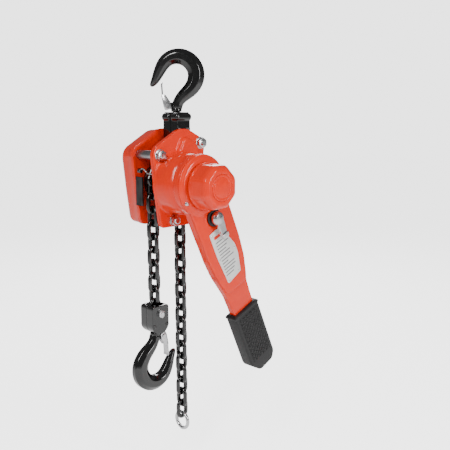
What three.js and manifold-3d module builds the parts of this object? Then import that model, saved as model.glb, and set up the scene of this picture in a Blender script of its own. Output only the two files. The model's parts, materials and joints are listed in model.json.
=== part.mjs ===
// Lever chain hoist, hanging from its top hook. Millimetres, +Z up, origin on the top hook's saddle.
// The load shaft lies along Y: the handwheel is on the -Y side and the gear cover on the +Y side.
import * as THREE from 'three';
import { mergeVertices } from 'three/addons/utils/BufferGeometryUtils.js';
import Module from 'manifold-3d';

const wasm = await Module();
wasm.setup();

// ---- Driving dimensions -------------------------------------------------------------------------
const GAP = 0.3;                 // between pieces that seat on or in each other
const WIRE = 6;                  // load chain wire diameter
const PITCH = 18;                // load chain pitch, the inside length of a link
const LINK_WIDTH = 20;           // outside width of a link
const FUSE = 0.8;                // extra wire thickness that joins one link to the next

const SHAFT_X = -20;             // load shaft axis
const SHAFT_Z = -156;
const SHAFT_R = 6.5;
const POCKETS = 4;               // chain pockets on the sheave
const PLATE_GAP = 36;            // between the side plates
const PLATE = 4;                 // side plate thickness
const PLATE_RISE = 70;           // shaft to the top of the side plates
const TRAIN_ROOM = 11.15;        // lowest gear's teeth to the bottom of the side plates
const PLATE_HALF = 41;           // half width of the side plates at the shoulder

const BOLT_R = 4;                // stay bolts
const SPACER_R = 6;
const PIN_R = 6;                 // suspension pin
const PIN_Z = -98;
const YOKE_X = 22;               // top yoke, across the pin and along it
const YOKE_Y = 29;
const YOKE_TOP = -64.4;
const BLOCK_X = 28;              // bottom block
const BLOCK_Y = 26;
const BLOCK_HEIGHT = 39;
const HOOK_THICK = 16;           // hook forging, through its plane
const SHANK_R = 4.8;
const SHANK_HEAD_R = 7.8;

const MODULE = 1.5;              // gear train: 12 and 24 teeth, twice
const PINION_TEETH = 12;
const WHEEL_TEETH = 24;
const PRESSURE = THREE.MathUtils.degToRad(25);
const TOOTH_SHARE = 0.9;         // tooth thickness as a share of half the tooth pitch

const BRAKE_R = 24;              // friction discs
const BRAKE_COVER_R = 41;
const BRAKE_COVER_DEPTH = 33.2;
const RATCHET_TEETH = 12;
const RATCHET_R = 27;
const PAWL_PIN_R = 2.5;
const DRIVE_TEETH = 16;
const DRIVE_TIP_R = 24;
const DRIVE_ROOT_R = 19.5;

const LEVER_LEAN = THREE.MathUtils.degToRad(24);
const LEVER_LENGTH = 300;        // shaft to the end of the grip
const LEVER_HOUSING_R = 40;
const LEVER_DEPTH = 10;
const SELECTOR_REACH = 47;       // shaft to the selector's pivot
const GRIP_LENGTH = 105;
const GRIP_HALF = 24.5;
const GRIP_DEPTH = 20;
const HANDWHEEL_R = 30;
const HANDWHEEL_FACE_R = 22;
const HANDWHEEL_DEPTH = 30;
const COVER_DEPTH = 28;          // gear cover, from the rear plate
const SKIN = 2.5;                // pressed steel covers

// ---- Sizes that follow --------------------------------------------------------------------------
const FRONT = -PLATE_GAP / 2 - PLATE;                        // outer face of the front plate
const REAR = PLATE_GAP / 2 + PLATE;                          // outer face of the rear plate
const LINKS_ROUND = POCKETS * 2;
const FALL_R = PITCH / 2 / Math.sin(Math.PI / LINKS_ROUND);  // chain fall to shaft
const WRAP_R = PITCH / 2 / Math.tan(Math.PI / LINKS_ROUND);  // link centre to shaft, on the sheave
const HOOK_X = SHAFT_X - FALL_R;
const SLACK_X = SHAFT_X + FALL_R;
const SHEAVE_R = WRAP_R + WIRE / 2 + 1;
const SHEAVE_HALF = PLATE_GAP / 2 - 3;
const HUB_R = WRAP_R - LINK_WIDTH / 2 - 1;
const CENTRES = MODULE * (PINION_TEETH + WHEEL_TEETH) / 2;
const PLATE_DROP = CENTRES + MODULE * (WHEEL_TEETH / 2 + 0.9) + TRAIN_ROOM;
const SLEEVE_R = SHAFT_R + GAP;
const LEVER_REAR = FRONT - GAP - SKIN - BRAKE_COVER_DEPTH - 2.0;
const LEVER_FRONT = LEVER_REAR - LEVER_DEPTH;
const COVER_FRONT = LEVER_FRONT - GAP - 3.2;
const WHEEL_REAR = COVER_FRONT - 4;
const STAYS = {
  left: [SHAFT_X - 30, SHAFT_Z + 37],
  right: [SHAFT_X + 40, SHAFT_Z + 51],
  bottom: [SHAFT_X - 8, SHAFT_Z - 49],
};

// ---- Materials ----------------------------------------------------------------------------------
const material = (color, roughness, metalness) =>
  new THREE.MeshStandardMaterial({ color, roughness, metalness });
const RED = material(0xd63016, 0.3, 0.1);
const BLACK = material(0x16171a, 0.28, 0.4);
const ZINC = material(0xb9bcc0, 0.3, 1.0);
const STEEL = material(0x8d9196, 0.4, 1.0);
const DARK_STEEL = material(0x4a4d52, 0.45, 1.0);
const RUBBER = material(0x1b1b1c, 0.85, 0.0);
const FRICTION = material(0x5a4a3c, 0.9, 0.0);
const WHITE = material(0xe9e9e6, 0.45, 0.0);

// ---- Solids -------------------------------------------------------------------------------------
function solid(geometry) {
  const bare = geometry.clone();
  bare.deleteAttribute('normal');
  bare.deleteAttribute('uv');
  const merged = mergeVertices(bare, 1e-4);
  const place = merged.attributes.position.array;
  const faces = [];
  for (let i = 0; i < merged.index.count; i += 3) {
    const [a, b, c] = [0, 1, 2].map((k) => merged.index.getX(i + k));
    if (a !== b && b !== c && a !== c) faces.push(a, b, c);
  }
  const corner = (i) => new THREE.Vector3().fromArray(place, 3 * faces[i]);
  let volume = 0;
  for (let i = 0; i < faces.length; i += 3) {
    volume += corner(i).dot(corner(i + 1).cross(corner(i + 2)));
  }
  if (volume < 0) faces.reverse();
  const vertProperties = new Float32Array(place);
  const mesh = new wasm.Mesh({ numProp: 3, vertProperties, triVerts: new Uint32Array(faces) });
  return new wasm.Manifold(mesh);
}

function surface(shape) {
  const mesh = shape.getMesh();
  const geometry = new THREE.BufferGeometry();
  geometry.setAttribute('position', new THREE.BufferAttribute(new Float32Array(mesh.vertProperties), 3));
  geometry.setIndex(new THREE.BufferAttribute(new Uint32Array(mesh.triVerts), 1));
  geometry.computeVertexNormals();
  return geometry;
}

const joined = (first, ...others) => others.reduce((all, one) => all.add(one), first);
const cut = (first, ...others) => others.reduce((all, one) => all.subtract(one), first);

function ring(radius, steps, x = 0, z = 0, phase = 0) {
  const points = [];
  for (let i = 0; i < steps; i += 1) {
    const angle = phase + (2 * Math.PI * i) / steps;
    points.push(new THREE.Vector2(x + radius * Math.cos(angle), z + radius * Math.sin(angle)));
  }
  return points;
}

// The outline of two circles and the belt round them.
function belt(ax, az, ra, bx, bz, rb, steps = 5) {
  const along = Math.atan2(bz - az, bx - ax);
  const lean = Math.acos((ra - rb) / Math.hypot(bx - ax, bz - az));
  const points = [];
  for (let i = 0; i <= steps; i += 1) {
    const angle = along + lean + (2 * (Math.PI - lean) * i) / steps;
    points.push(new THREE.Vector2(ax + ra * Math.cos(angle), az + ra * Math.sin(angle)));
  }
  for (let i = 0; i <= steps; i += 1) {
    const angle = along - lean + (2 * lean * i) / steps;
    points.push(new THREE.Vector2(bx + rb * Math.cos(angle), bz + rb * Math.sin(angle)));
  }
  return points;
}

function rounded(corners, radius, steps = 3) {
  const points = [];
  corners.forEach(([x, z], i) => {
    const here = new THREE.Vector2(x, z);
    const before = new THREE.Vector2(...corners.at(i - 1)).sub(here);
    const after = new THREE.Vector2(...corners[(i + 1) % corners.length]).sub(here);
    const reach = Math.min(radius, before.length() / 2.1, after.length() / 2.1);
    const start = here.clone().add(before.setLength(reach));
    const end = here.clone().add(after.setLength(reach));
    points.push(...new THREE.QuadraticBezierCurve(start, here, end).getPoints(steps));
  });
  return points;
}

// A plate whose outline lies in XZ, from y = high down to y = low.
function plate(outline, low, high) {
  const shape = new THREE.Shape(outline);
  const geometry = new THREE.ExtrudeGeometry(shape, { depth: high - low, bevelEnabled: false });
  return solid(geometry.rotateX(Math.PI / 2).translate(0, high, 0));
}

const disc = (radius, low, high, x = 0, z = 0, steps = 20) =>
  plate(ring(radius, steps, x, z), low, high);

const box = (x, y, z, cx, cy, cz) => solid(new THREE.BoxGeometry(x, y, z).translate(cx, cy, cz));

// A solid through matching outlines in XZ, each at its own y.
function loft(rings) {
  const clockwise = THREE.ShapeUtils.isClockWise(rings[0].outline);
  const sections = rings.map(({ y, outline }) =>
    ({ y, outline: clockwise ? [...outline].reverse() : outline }));
  const count = sections[0].outline.length;
  const place = [];
  const faces = [];
  sections.forEach(({ y, outline }) => outline.forEach((p) => place.push(p.x, y, p.y)));
  for (let s = 0; s + 1 < sections.length; s += 1) {
    for (let i = 0; i < count; i += 1) {
      const a = s * count + i;
      const b = s * count + ((i + 1) % count);
      faces.push(a, b, a + count, b, b + count, a + count);
    }
  }
  THREE.ShapeUtils.triangulateShape(sections[0].outline, []).forEach(([a, b, c]) => faces.push(a, c, b));
  const top = (sections.length - 1) * count;
  THREE.ShapeUtils.triangulateShape(sections.at(-1).outline, []).forEach(([a, b, c]) =>
    faces.push(top + a, top + b, top + c));
  const geometry = new THREE.BufferGeometry();
  geometry.setAttribute('position', new THREE.Float32BufferAttribute(place, 3));
  geometry.setIndex(faces);
  return solid(geometry);
}

const scaled = (outline, share, x = 0, z = 0) =>
  outline.map((p) => new THREE.Vector2(x + (p.x - x) * share, z + (p.y - z) * share));

// A turned piece about Y; the profile runs from the axis to the axis as [radius, y].
function turned(profile, steps = 24) {
  return solid(new THREE.LatheGeometry(profile.map(([r, y]) => new THREE.Vector2(r, y)), steps));
}

const onShaft = (shape) => shape.translate(SHAFT_X, 0, SHAFT_Z);

function involuteGear(teeth, low, high, phase) {
  const pitchR = (MODULE * teeth) / 2;
  const baseR = pitchR * Math.cos(PRESSURE);
  const tipR = pitchR + 0.9 * MODULE;
  const rootR = pitchR - 1.2 * MODULE;
  const roll = (r) => (r <= baseR ? 0 : Math.tan(Math.acos(baseR / r)) - Math.acos(baseR / r));
  const half = (r) => (TOOTH_SHARE * Math.PI) / (2 * teeth) + roll(pitchR) - roll(r);
  const points = [];
  for (let t = 0; t < teeth; t += 1) {
    const middle = phase + (2 * Math.PI * t) / teeth;
    const flank = [rootR, pitchR, tipR];
    const side = (r, sign) => {
      const angle = middle + sign * half(r);
      points.push(new THREE.Vector2(r * Math.cos(angle), r * Math.sin(angle)));
    };
    flank.forEach((r) => side(r, -1));
    flank.reverse().forEach((r) => side(r, 1));
  }
  return plate(points, low, high);
}

// ---- The object ---------------------------------------------------------------------------------
const hoist = new THREE.Group();

function piece(name, shape, look, parent = hoist) {
  const mesh = new THREE.Mesh(surface(shape), look);
  mesh.name = name;
  parent.add(mesh);
}

// ---- Hooks --------------------------------------------------------------------------------------
// Both hooks are one forging: saddle at the origin, shank below it, mouth towards -X. The rows are
// the centre line and the width across it.
const FORGING = [
  [0, -63, 14], [1, -54, 12.4], [7, -44.5, 14], [19, -36, 17.5], [27.5, -23, 20.6], [27, -7, 21.6],
  [15.5, 6.2, 20.6], [0.3, 9.4, 18.8], [-13.8, 3.6, 16.4], [-22, -10.5, 13.4], [-27.5, -23.5, 9.4],
  [-34, -31.5, 6],
];
const LATCH_PIVOT = [-11.5, -56.2];
const LATCH_PIN_R = 2;
const LATCH_EYE_R = 5;

function forging() {
  const curve = new THREE.CatmullRomCurve3(FORGING.map(([x, z]) => new THREE.Vector3(x, 0, z)));
  const widths = new THREE.SplineCurve(FORGING.map(([, , w], i) => new THREE.Vector2(i, w)));
  const steps = 24;
  const sides = 8;
  const place = [];
  const faces = [];
  for (let s = 0; s <= steps; s += 1) {
    const t = s / steps;
    const centre = curve.getPoint(t);
    const along = curve.getTangent(t);
    const half = widths.getPoint(t).y / 2;
    const thick = Math.min(HOOK_THICK / 2, half);
    for (let i = 0; i < sides; i += 1) {
      const angle = (2 * Math.PI * i) / sides;
      const across = half * Math.cos(angle);
      place.push(centre.x - along.z * across, thick * Math.sin(angle), centre.z + along.x * across);
    }
  }
  for (let s = 0; s < steps; s += 1) {
    for (let i = 0; i < sides; i += 1) {
      const a = s * sides + i;
      const b = s * sides + ((i + 1) % sides);
      faces.push(a, a + sides, b, b, a + sides, b + sides);
    }
  }
  for (let i = 1; i + 1 < sides; i += 1) {
    faces.push(0, i, i + 1, steps * sides, steps * sides + i + 1, steps * sides + i);
  }
  const geometry = new THREE.BufferGeometry();
  geometry.setAttribute('position', new THREE.Float32BufferAttribute(place, 3));
  geometry.setIndex(faces);
  return solid(geometry);
}

function hook(top) {
  const headLow = top - 17.6;
  const shank = turned([
    [0, headLow], [SHANK_HEAD_R, headLow], [SHANK_HEAD_R, headLow + 8], [SHANK_R, headLow + 8],
    [SHANK_R, top + 0.6], [7, top + 0.6], [7, top + 5], [0, top + 5],
  ], 20).rotate([90, 0, 0]);
  const [px, pz] = LATCH_PIVOT;
  const lug = plate(belt(px, pz, LATCH_EYE_R, -2, pz, 4.5), -3, 3);
  const eye = disc(LATCH_PIN_R + GAP, -9, 9, px, pz, 8);
  return cut(joined(forging(), shank, lug), eye);
}

function latch() {
  const [px, pz] = LATCH_PIVOT;
  const blade = plate(belt(px, pz, LATCH_EYE_R - 0.6, -19.4, -27.5, 2.4), -5, 5);
  const fork = plate(belt(px, pz, LATCH_EYE_R + 1.6, -14.4, -46.5, 5.6), -3 - GAP, 3 + GAP);
  return cut(blade, fork, disc(LATCH_PIN_R + GAP, -9, 9, px, pz, 8));
}

function hookSet(prefix, group, top) {
  piece(`${prefix}_hook`, hook(top), BLACK, group);
  piece(`${prefix}_latch`, latch(), ZINC, group);
  piece(`${prefix}_latch_pin`, disc(LATCH_PIN_R, -6, 6, ...LATCH_PIVOT, 8), STEEL, group);
}

const topHook = new THREE.Group();
topHook.rotation.z = -Math.PI / 4;
hoist.add(topHook);
hookSet('top', topHook, YOKE_TOP);

// ---- Top yoke -----------------------------------------------------------------------------------
const shankBore = (top) => turned([
  [0, top - 18.2], [SHANK_HEAD_R + GAP, top - 18.2], [SHANK_HEAD_R + GAP, top - 9.2],
  [SHANK_R + GAP, top - 9.2], [SHANK_R + GAP, top + 9], [0, top + 9],
], 20).rotate([90, 0, 0]);

const RIVET_R = 2;
const RIVET_X = 7.5;
const RIVET_Z = YOKE_TOP - 22.4;

function yokeHalf(low, high) {
  const half = YOKE_X / 2;
  const outline = [];
  for (let i = 0; i <= 8; i += 1) {
    const angle = Math.PI + (Math.PI * i) / 8;
    outline.push(new THREE.Vector2(half * Math.cos(angle), PIN_Z + half * Math.sin(angle)));
  }
  outline.push(new THREE.Vector2(half, YOKE_TOP - 3), new THREE.Vector2(half - 3, YOKE_TOP));
  outline.push(new THREE.Vector2(3 - half, YOKE_TOP), new THREE.Vector2(-half, YOKE_TOP - 3));
  return cut(
    plate(outline, low, high), shankBore(YOKE_TOP), disc(PIN_R + GAP, low - 1, high + 1, 0, PIN_Z),
    ...[-1, 1].map((s) => disc(RIVET_R + GAP, low - 1, high + 1, s * RIVET_X, RIVET_Z, 8)),
  );
}

piece('top_yoke_front', yokeHalf(-YOKE_Y / 2, -GAP / 2), BLACK);
piece('top_yoke_rear', yokeHalf(GAP / 2, YOKE_Y / 2), BLACK);
['left', 'right'].forEach((side, i) => {
  const x = (2 * i - 1) * RIVET_X;
  const face = YOKE_Y / 2 + GAP;
  const rivet = joined(
    disc(RIVET_R, -face - 0.5, face + 0.5, x, RIVET_Z, 8),
    disc(RIVET_R + 1.2, -face - 1.5, -face, x, RIVET_Z, 8),
    disc(RIVET_R + 1.2, face, face + 1.5, x, RIVET_Z, 8),
  );
  piece(`yoke_rivet_${side}`, rivet, DARK_STEEL);
});
piece('suspension_pin', disc(PIN_R, FRONT + 0.4, REAR - 0.4, 0, PIN_Z), STEEL);

// ---- Side plates, spacers and stay bolts --------------------------------------------------------
const LEFT = SHAFT_X - PLATE_HALF;
const TOP = SHAFT_Z + PLATE_RISE;
const BOTTOM = SHAFT_Z - PLATE_DROP;
const BODY_OUTLINE = rounded([
  [LEFT + 12, BOTTOM], [LEFT + 6, SHAFT_Z - 16], [LEFT, SHAFT_Z + 38], [LEFT + 4, SHAFT_Z + 47],
  [SHAFT_X + 3, TOP], [SHAFT_X + 18, TOP], [SHAFT_X + 43, TOP - 12.5], [SHAFT_X + 48, TOP - 20],
  [SHAFT_X + 46, SHAFT_Z + 32], [SHAFT_X + 39, SHAFT_Z - 16], [SHAFT_X + 28, BOTTOM],
], 7);

const boltHoles = (low, high, radius = BOLT_R + GAP) =>
  Object.values(STAYS).map(([x, z]) => disc(radius, low, high, x, z, 8));
const BEARING_R = 16;
const journalR = HUB_R;
const AXLE_R = 5;                // intermediate gear shafts
const axles = [1, -1].map((s) => [SHAFT_X, SHAFT_Z + s * CENTRES]);

function sidePlate(low) {
  return cut(
    plate(BODY_OUTLINE, low, low + PLATE), ...boltHoles(low - 1, low + PLATE + 1),
    disc(BEARING_R + GAP, low - 1, low + PLATE + 1, SHAFT_X, SHAFT_Z),
    disc(PIN_R + GAP, low - 1, low + PLATE + 1, 0, PIN_Z),
  );
}

const PAWL_CIRCLE_R = 33;        // the brake pawls' pivots, on opposite sides of the ratchet
const PAWL_ANGLES = [62, 242];
const pawlPins = PAWL_ANGLES.map((degrees) => {
  const angle = THREE.MathUtils.degToRad(degrees);
  const [x, z] = [PAWL_CIRCLE_R * Math.cos(angle), PAWL_CIRCLE_R * Math.sin(angle)];
  return { angle, x: SHAFT_X + x, z: SHAFT_Z + z };
});
const PAWL_STUD = 18.2;          // riveted studs on the front plate, which carry the brake pawls
piece('front_side_plate', joined(
  sidePlate(FRONT),
  ...pawlPins.map(({ x, z }) => disc(PAWL_PIN_R, FRONT - PAWL_STUD, FRONT + 1, x, z, 8)),
), RED);
piece('rear_side_plate', cut(
  sidePlate(REAR - PLATE),
  ...axles.map(([x, z]) => disc(AXLE_R + GAP, REAR - PLATE - 1, REAR + 1, x, z, 16)),
), RED);
['front', 'rear'].forEach((side, i) => {
  const low = i ? REAR - PLATE : FRONT;
  piece(`sheave_bearing_${side}`, onShaft(cut(
    disc(BEARING_R, low, low + PLATE), disc(journalR + GAP, low - 1, low + PLATE + 1),
  )), ZINC);
});

const NUT_R = 7.2;
const FLANGE_FACE = FRONT - GAP - SKIN;
Object.entries(STAYS).forEach(([side, [x, z]]) => {
  const half = PLATE_GAP / 2 - GAP;
  piece(`stay_spacer_${side}`, cut(
    disc(SPACER_R, -half, half, x, z, 18), disc(BOLT_R + GAP, -half - 1, half + 1, x, z, 8),
  ), STEEL);
  piece(`stay_stud_${side}`, disc(BOLT_R, FLANGE_FACE - 8, REAR - GAP, x, z, 12), ZINC);
  piece(`stay_nut_${side}`, cut(
    disc(NUT_R, FLANGE_FACE - GAP - 5.5, FLANGE_FACE - GAP, x, z, 6),
    disc(BOLT_R + GAP, FLANGE_FACE - 9, FLANGE_FACE + 1, x, z, 8),
  ), ZINC);
});

// ---- Chain guides and stripper between the plates -----------------------------------------------
const GUIDE_OFF = FALL_R + LINK_WIDTH / 2 + 1.4;
const guideHalf = PLATE_GAP / 2 - GAP;
const GUIDE_OPEN = 4;             // the left guide leaves the front of the hook fall in sight
['left', 'right'].forEach((side, i) => {
  const sign = 2 * i - 1;
  const middle = SHAFT_X + sign * (GUIDE_OFF + 1);
  const outline = [[-1, 8], [1, 8], [1, -30], [-1, -30]];
  const points = outline.map(([x, z]) => new THREE.Vector2(middle + x, SHAFT_Z + z));
  const guide = plate(points, side === 'left' ? GUIDE_OPEN : -guideHalf, guideHalf);
  piece(`chain_guide_${side}`, guide, DARK_STEEL);
});
const stripperZ = SHAFT_Z - SHEAVE_R - 8.5;
piece('chain_stripper', joined(
  disc(4, -guideHalf, guideHalf, SHAFT_X + 3, stripperZ, 14),
  box(7, 5, 18, SHAFT_X + 3, 0, stripperZ + 10),
), DARK_STEEL);

// ---- Load sheave and gear train -----------------------------------------------------------------
const FIRST_LINK = Math.PI / LINKS_ROUND;      // polar angle of the wrapped link next to the slack fall

function sheave() {
  const end = SHEAVE_HALF;
  const gearLow = REAR + 1;
  const body = turned([
    [SLEEVE_R, FRONT - 1.5], [journalR, FRONT - 1.5], [journalR, -end], [SHEAVE_R, -end],
    [SHEAVE_R, -4], [HUB_R, -3.4], [HUB_R, 3.4], [SHEAVE_R, 4], [SHEAVE_R, end], [journalR, end],
    [journalR, gearLow - GAP], [journalR - 1.5, gearLow - GAP], [journalR - 1.5, gearLow + 8],
    [SLEEVE_R, gearLow + 8], [SLEEVE_R, FRONT - 1.5],
  ], 24);
  const length = PITCH + 2 * WIRE + 3.4;
  const width = LINK_WIDTH + 1.6;
  const pocket = box(length, width, 16, 0, 0, WRAP_R - WIRE / 2 - 1.7 + 8);
  const pockets = [];
  for (let i = 0; i < POCKETS; i += 1) {
    const turn = 90 - THREE.MathUtils.radToDeg(FIRST_LINK) + (360 * i) / POCKETS;
    pockets.push(pocket.rotate([0, turn, 0]));
  }
  return onShaft(cut(body, ...pockets));
}

piece('load_sheave', sheave(), DARK_STEEL);
const LOAD_LOW = REAR + 1;
const LOAD_HIGH = LOAD_LOW + 8;
const DISC_LOW = LOAD_HIGH + 1;
const DISC_HIGH = DISC_LOW + 6;
piece('load_gear', onShaft(cut(
  involuteGear(WHEEL_TEETH, LOAD_LOW, LOAD_HIGH, 0),
  disc(journalR - 1.5 + GAP, LOAD_LOW - 1, LOAD_HIGH + 1),
)), DARK_STEEL);
['upper', 'lower'].forEach((side, i) => {
  const gear = joined(
    involuteGear(PINION_TEETH, LOAD_LOW, DISC_LOW + 1, Math.PI / PINION_TEETH),
    involuteGear(WHEEL_TEETH, DISC_LOW, DISC_HIGH, Math.PI / WHEEL_TEETH),
    disc(AXLE_R, REAR - PLATE + 0.4, DISC_HIGH + 7, 0, 0, 16),
  );
  piece(`disc_gear_${side}`, gear.translate(axles[i][0], 0, axles[i][1]), DARK_STEEL);
});

// ---- Drive shaft and load brake -----------------------------------------------------------------
const HUB_BACK = FRONT - GAP - 2.6;
const HUB_FACE = HUB_BACK - 4;
const NOSE_R = 5;
const WHEEL_FACE = WHEEL_REAR - HANDWHEEL_DEPTH;
piece('drive_shaft', onShaft(joined(
  disc(SHAFT_R, HUB_BACK + 0.5, DISC_HIGH + 7, 0, 0, 16),
  involuteGear(PINION_TEETH, DISC_LOW, DISC_HIGH, 0),
  disc(NOSE_R, WHEEL_FACE + 1, HUB_BACK + 1, 0, 0, 16),
)), STEEL);
const noseBore = (low, high) => disc(NOSE_R + GAP, low, high, 0, 0, 16);

const DISC_THICK = 2.5;
const RATCHET_THICK = 5;
const BOSS_R = 11;               // brake hub boss, which carries the discs
const frictionHigh = [HUB_FACE - GAP, HUB_FACE - 3 * GAP - DISC_THICK - RATCHET_THICK];
const ratchetHigh = frictionHigh[0] - DISC_THICK - GAP;
const pressureHigh = frictionHigh[1] - DISC_THICK - GAP;
piece('brake_hub', onShaft(cut(
  joined(disc(BRAKE_R, HUB_FACE, HUB_BACK), disc(BOSS_R, pressureHigh + GAP, HUB_BACK, 0, 0, 16)),
  noseBore(-80, 0),
)), STEEL);
['inner', 'outer'].forEach((side, i) => {
  const high = frictionHigh[i];
  piece(`friction_disc_${side}`, onShaft(cut(
    disc(BRAKE_R, high - DISC_THICK, high), disc(BOSS_R + GAP, high - DISC_THICK - 1, high + 1, 0, 0, 16),
  )), FRICTION);
});

const RATCHET_STEP = (2 * Math.PI) / RATCHET_TEETH;
function ratchetOutline() {
  const points = [];
  for (let i = 0; i < RATCHET_TEETH; i += 1) {
    const angle = i * RATCHET_STEP;
    [[RATCHET_R, 0], [RATCHET_R - 2.5, 0.035], [RATCHET_R - 1.4, RATCHET_STEP / 2]].forEach(([r, turn]) =>
      points.push(new THREE.Vector2(r * Math.cos(angle + turn), r * Math.sin(angle + turn))));
  }
  return points;
}
piece('ratchet_disc', onShaft(cut(
  plate(ratchetOutline(), ratchetHigh - RATCHET_THICK, ratchetHigh),
  disc(BOSS_R + GAP, ratchetHigh - 9, ratchetHigh + 1, 0, 0, 16),
)), STEEL);
const PAWL_SPAN = THREE.MathUtils.degToRad(28);   // from a pawl's pivot round to its tooth
pawlPins.forEach(({ angle, x, z }, i) => {
  const toothAngle = angle - PAWL_SPAN;
  const reach = RATCHET_R - 0.8;
  const tip = [SHAFT_X + reach * Math.cos(toothAngle), SHAFT_Z + reach * Math.sin(toothAngle)];
  const side = ['upper', 'lower'][i];
  const low = ratchetHigh - RATCHET_THICK;
  piece(`brake_pawl_${side}`, cut(
    plate(belt(x, z, PAWL_PIN_R + 1.5, ...tip, 1), low, ratchetHigh),
    disc(PAWL_PIN_R + GAP, low - 1, ratchetHigh + 1, x, z, 8),
  ), DARK_STEEL);
});

// Toothed drive member: pressure flange behind, neck through the brake cover, teeth in the lever.
const TEETH_HIGH = LEVER_REAR - 2.8;
const TEETH_LOW = LEVER_FRONT + 0.5;
const NECK_R = 13;
const leverPolar = LEVER_LEAN - Math.PI / 2;
function driveOutline() {
  const points = [];
  for (let i = 0; i < DRIVE_TEETH; i += 1) {
    const middle = leverPolar + (2 * Math.PI * i) / DRIVE_TEETH;
    const step = (2 * Math.PI) / DRIVE_TEETH;
    const corners = [[DRIVE_ROOT_R, -0.27], [DRIVE_TIP_R, -0.13], [DRIVE_TIP_R, 0.13], [DRIVE_ROOT_R, 0.27]];
    corners.forEach(([r, share]) => {
      const angle = middle + share * step;
      points.push(new THREE.Vector2(r * Math.cos(angle), r * Math.sin(angle)));
    });
  }
  return points;
}
piece('drive_gear', onShaft(cut(
  joined(
    disc(BRAKE_R, pressureHigh - 4.5, pressureHigh), disc(NECK_R, COVER_FRONT + 0.5, pressureHigh),
    plate(driveOutline(), TEETH_LOW, TEETH_HIGH),
  ),
  noseBore(-120, 0),
)), DARK_STEEL);

// ---- Brake cover and gear cover -----------------------------------------------------------------
function brakeCover() {
  const face = FLANGE_FACE;
  const front = face - BRAKE_COVER_DEPTH;
  const round = ring(BRAKE_COVER_R, 28, SHAFT_X, SHAFT_Z);
  const at = (y, share) => ({ y, outline: scaled(round, share, SHAFT_X, SHAFT_Z) });
  const wall = 1 - SKIN / BRAKE_COVER_R;
  const outer = loft([at(face + 1, 1), at(face - 20, 0.985), at(face - 28, 0.93), at(front, 0.82)]);
  const lobe = loft([[face + 1, 17], [face - 9, 16], [face - 11, 13]].map(([y, r]) =>
    ({ y, outline: ring(r, 24, SHAFT_X + 27, SHAFT_Z - 30) })));
  const neck = loft([[face + 1, 1], [face - 5, 0.94], [face - 7, 0.82]].map(([y, share]) => ({
    y,
    outline: scaled(rounded([[SHAFT_X - 12, SHAFT_Z + 20], [SHAFT_X + 40, SHAFT_Z + 20],
      [SHAFT_X + 30, TOP - 17], [SHAFT_X + 6, TOP - 8]], 8), share, SHAFT_X + 15, SHAFT_Z + 36),
  })));
  const inside = loft([at(FRONT + 2, wall), at(face - 19, wall * 0.985), at(face - 26, wall * 0.92),
    at(front + SKIN, wall * 0.84)]);
  return cut(
    joined(plate(BODY_OUTLINE, face, FRONT - GAP), outer, lobe, neck), inside,
    disc(DRIVE_TIP_R + 0.5, front - 2, front + 9, SHAFT_X, SHAFT_Z, 24),
    ...boltHoles(face - 12, FRONT + 1), ...Object.values(STAYS).map(([x, z]) =>
      disc(NUT_R + 1, face - 12, face, x, z, 16)),
  );
}
piece('brake_cover', brakeCover(), RED);

function gearCover() {
  const low = REAR + GAP;
  const high = REAR + COVER_DEPTH;
  const middle = [SHAFT_X - 4, SHAFT_Z - 2];
  const at = (y, share) => ({ y, outline: scaled(BODY_OUTLINE, share, ...middle) });
  const outer = loft([at(low, 0.99), at(high - 12, 0.97), at(high - 4, 0.9), at(high, 0.72)]);
  const inside = loft([at(low - 1, 0.93), at(high - 13, 0.915), at(high - 6, 0.85), at(high - SKIN, 0.66)]);
  const bosses = [...axles, [SHAFT_X, SHAFT_Z]].map(([x, z]) =>
    disc(AXLE_R + 5, DISC_HIGH + 1.5, high - 1, x, z, 14));
  const bores = [...axles.map(([x, z]) => [x, z, AXLE_R]), [SHAFT_X, SHAFT_Z, SHAFT_R]].map(([x, z, r]) =>
    disc(r + GAP, DISC_HIGH, DISC_HIGH + 8, x, z, 14));
  return cut(joined(cut(outer, inside), ...bosses), ...bores);
}
piece('gear_cover', gearCover(), RED);

// ---- Lever: its own frame has the shaft at the origin and the grip along -Z ---------------------
const lever = new THREE.Group();
lever.position.set(SHAFT_X, 0, SHAFT_Z);
lever.rotation.y = -LEVER_LEAN;
hoist.add(lever);

const GRIP_TOP = -(LEVER_LENGTH - GRIP_LENGTH);
const ARM_HALF = [[33, -5], [32, -96], [29.5, -124], [21, -162], [19.5, GRIP_TOP + 2]];
function armOutline(end, endHalf) {
  const side = (sign, rows) => rows.map(([x, z]) => [sign * x, z]);
  const tail = end < GRIP_TOP ? [[endHalf, GRIP_TOP + 2], [endHalf, end]] : [];
  const right = [...ARM_HALF.filter(([, z]) => z > end - 1), ...tail];
  return rounded([...side(-1, right), ...side(1, right).reverse()], 9);
}
const tongueHalf = GRIP_HALF - 8;
const selectorBore = disc(3.5 + GAP, -120, 0, 0, -SELECTOR_REACH, 16);
const PAWL_ROOM_R = 28.6;        // how far the change pawl's toes swing
const pawlRoom = [[-9, -SELECTOR_REACH - 9], [9, -SELECTOR_REACH - 9], [12, -SELECTOR_REACH + 4]];
for (let i = 0; i <= 8; i += 1) {
  const angle = THREE.MathUtils.degToRad(34 + 14 * i);
  pawlRoom.push([PAWL_ROOM_R * Math.cos(angle), -SELECTOR_REACH + PAWL_ROOM_R * Math.sin(angle)]);
}
pawlRoom.push([-12, -SELECTOR_REACH + 4]);
const sweep = plate(pawlRoom.map(([x, z]) => new THREE.Vector2(x, z)), LEVER_FRONT - 1, LEVER_REAR - 2.5);
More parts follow.
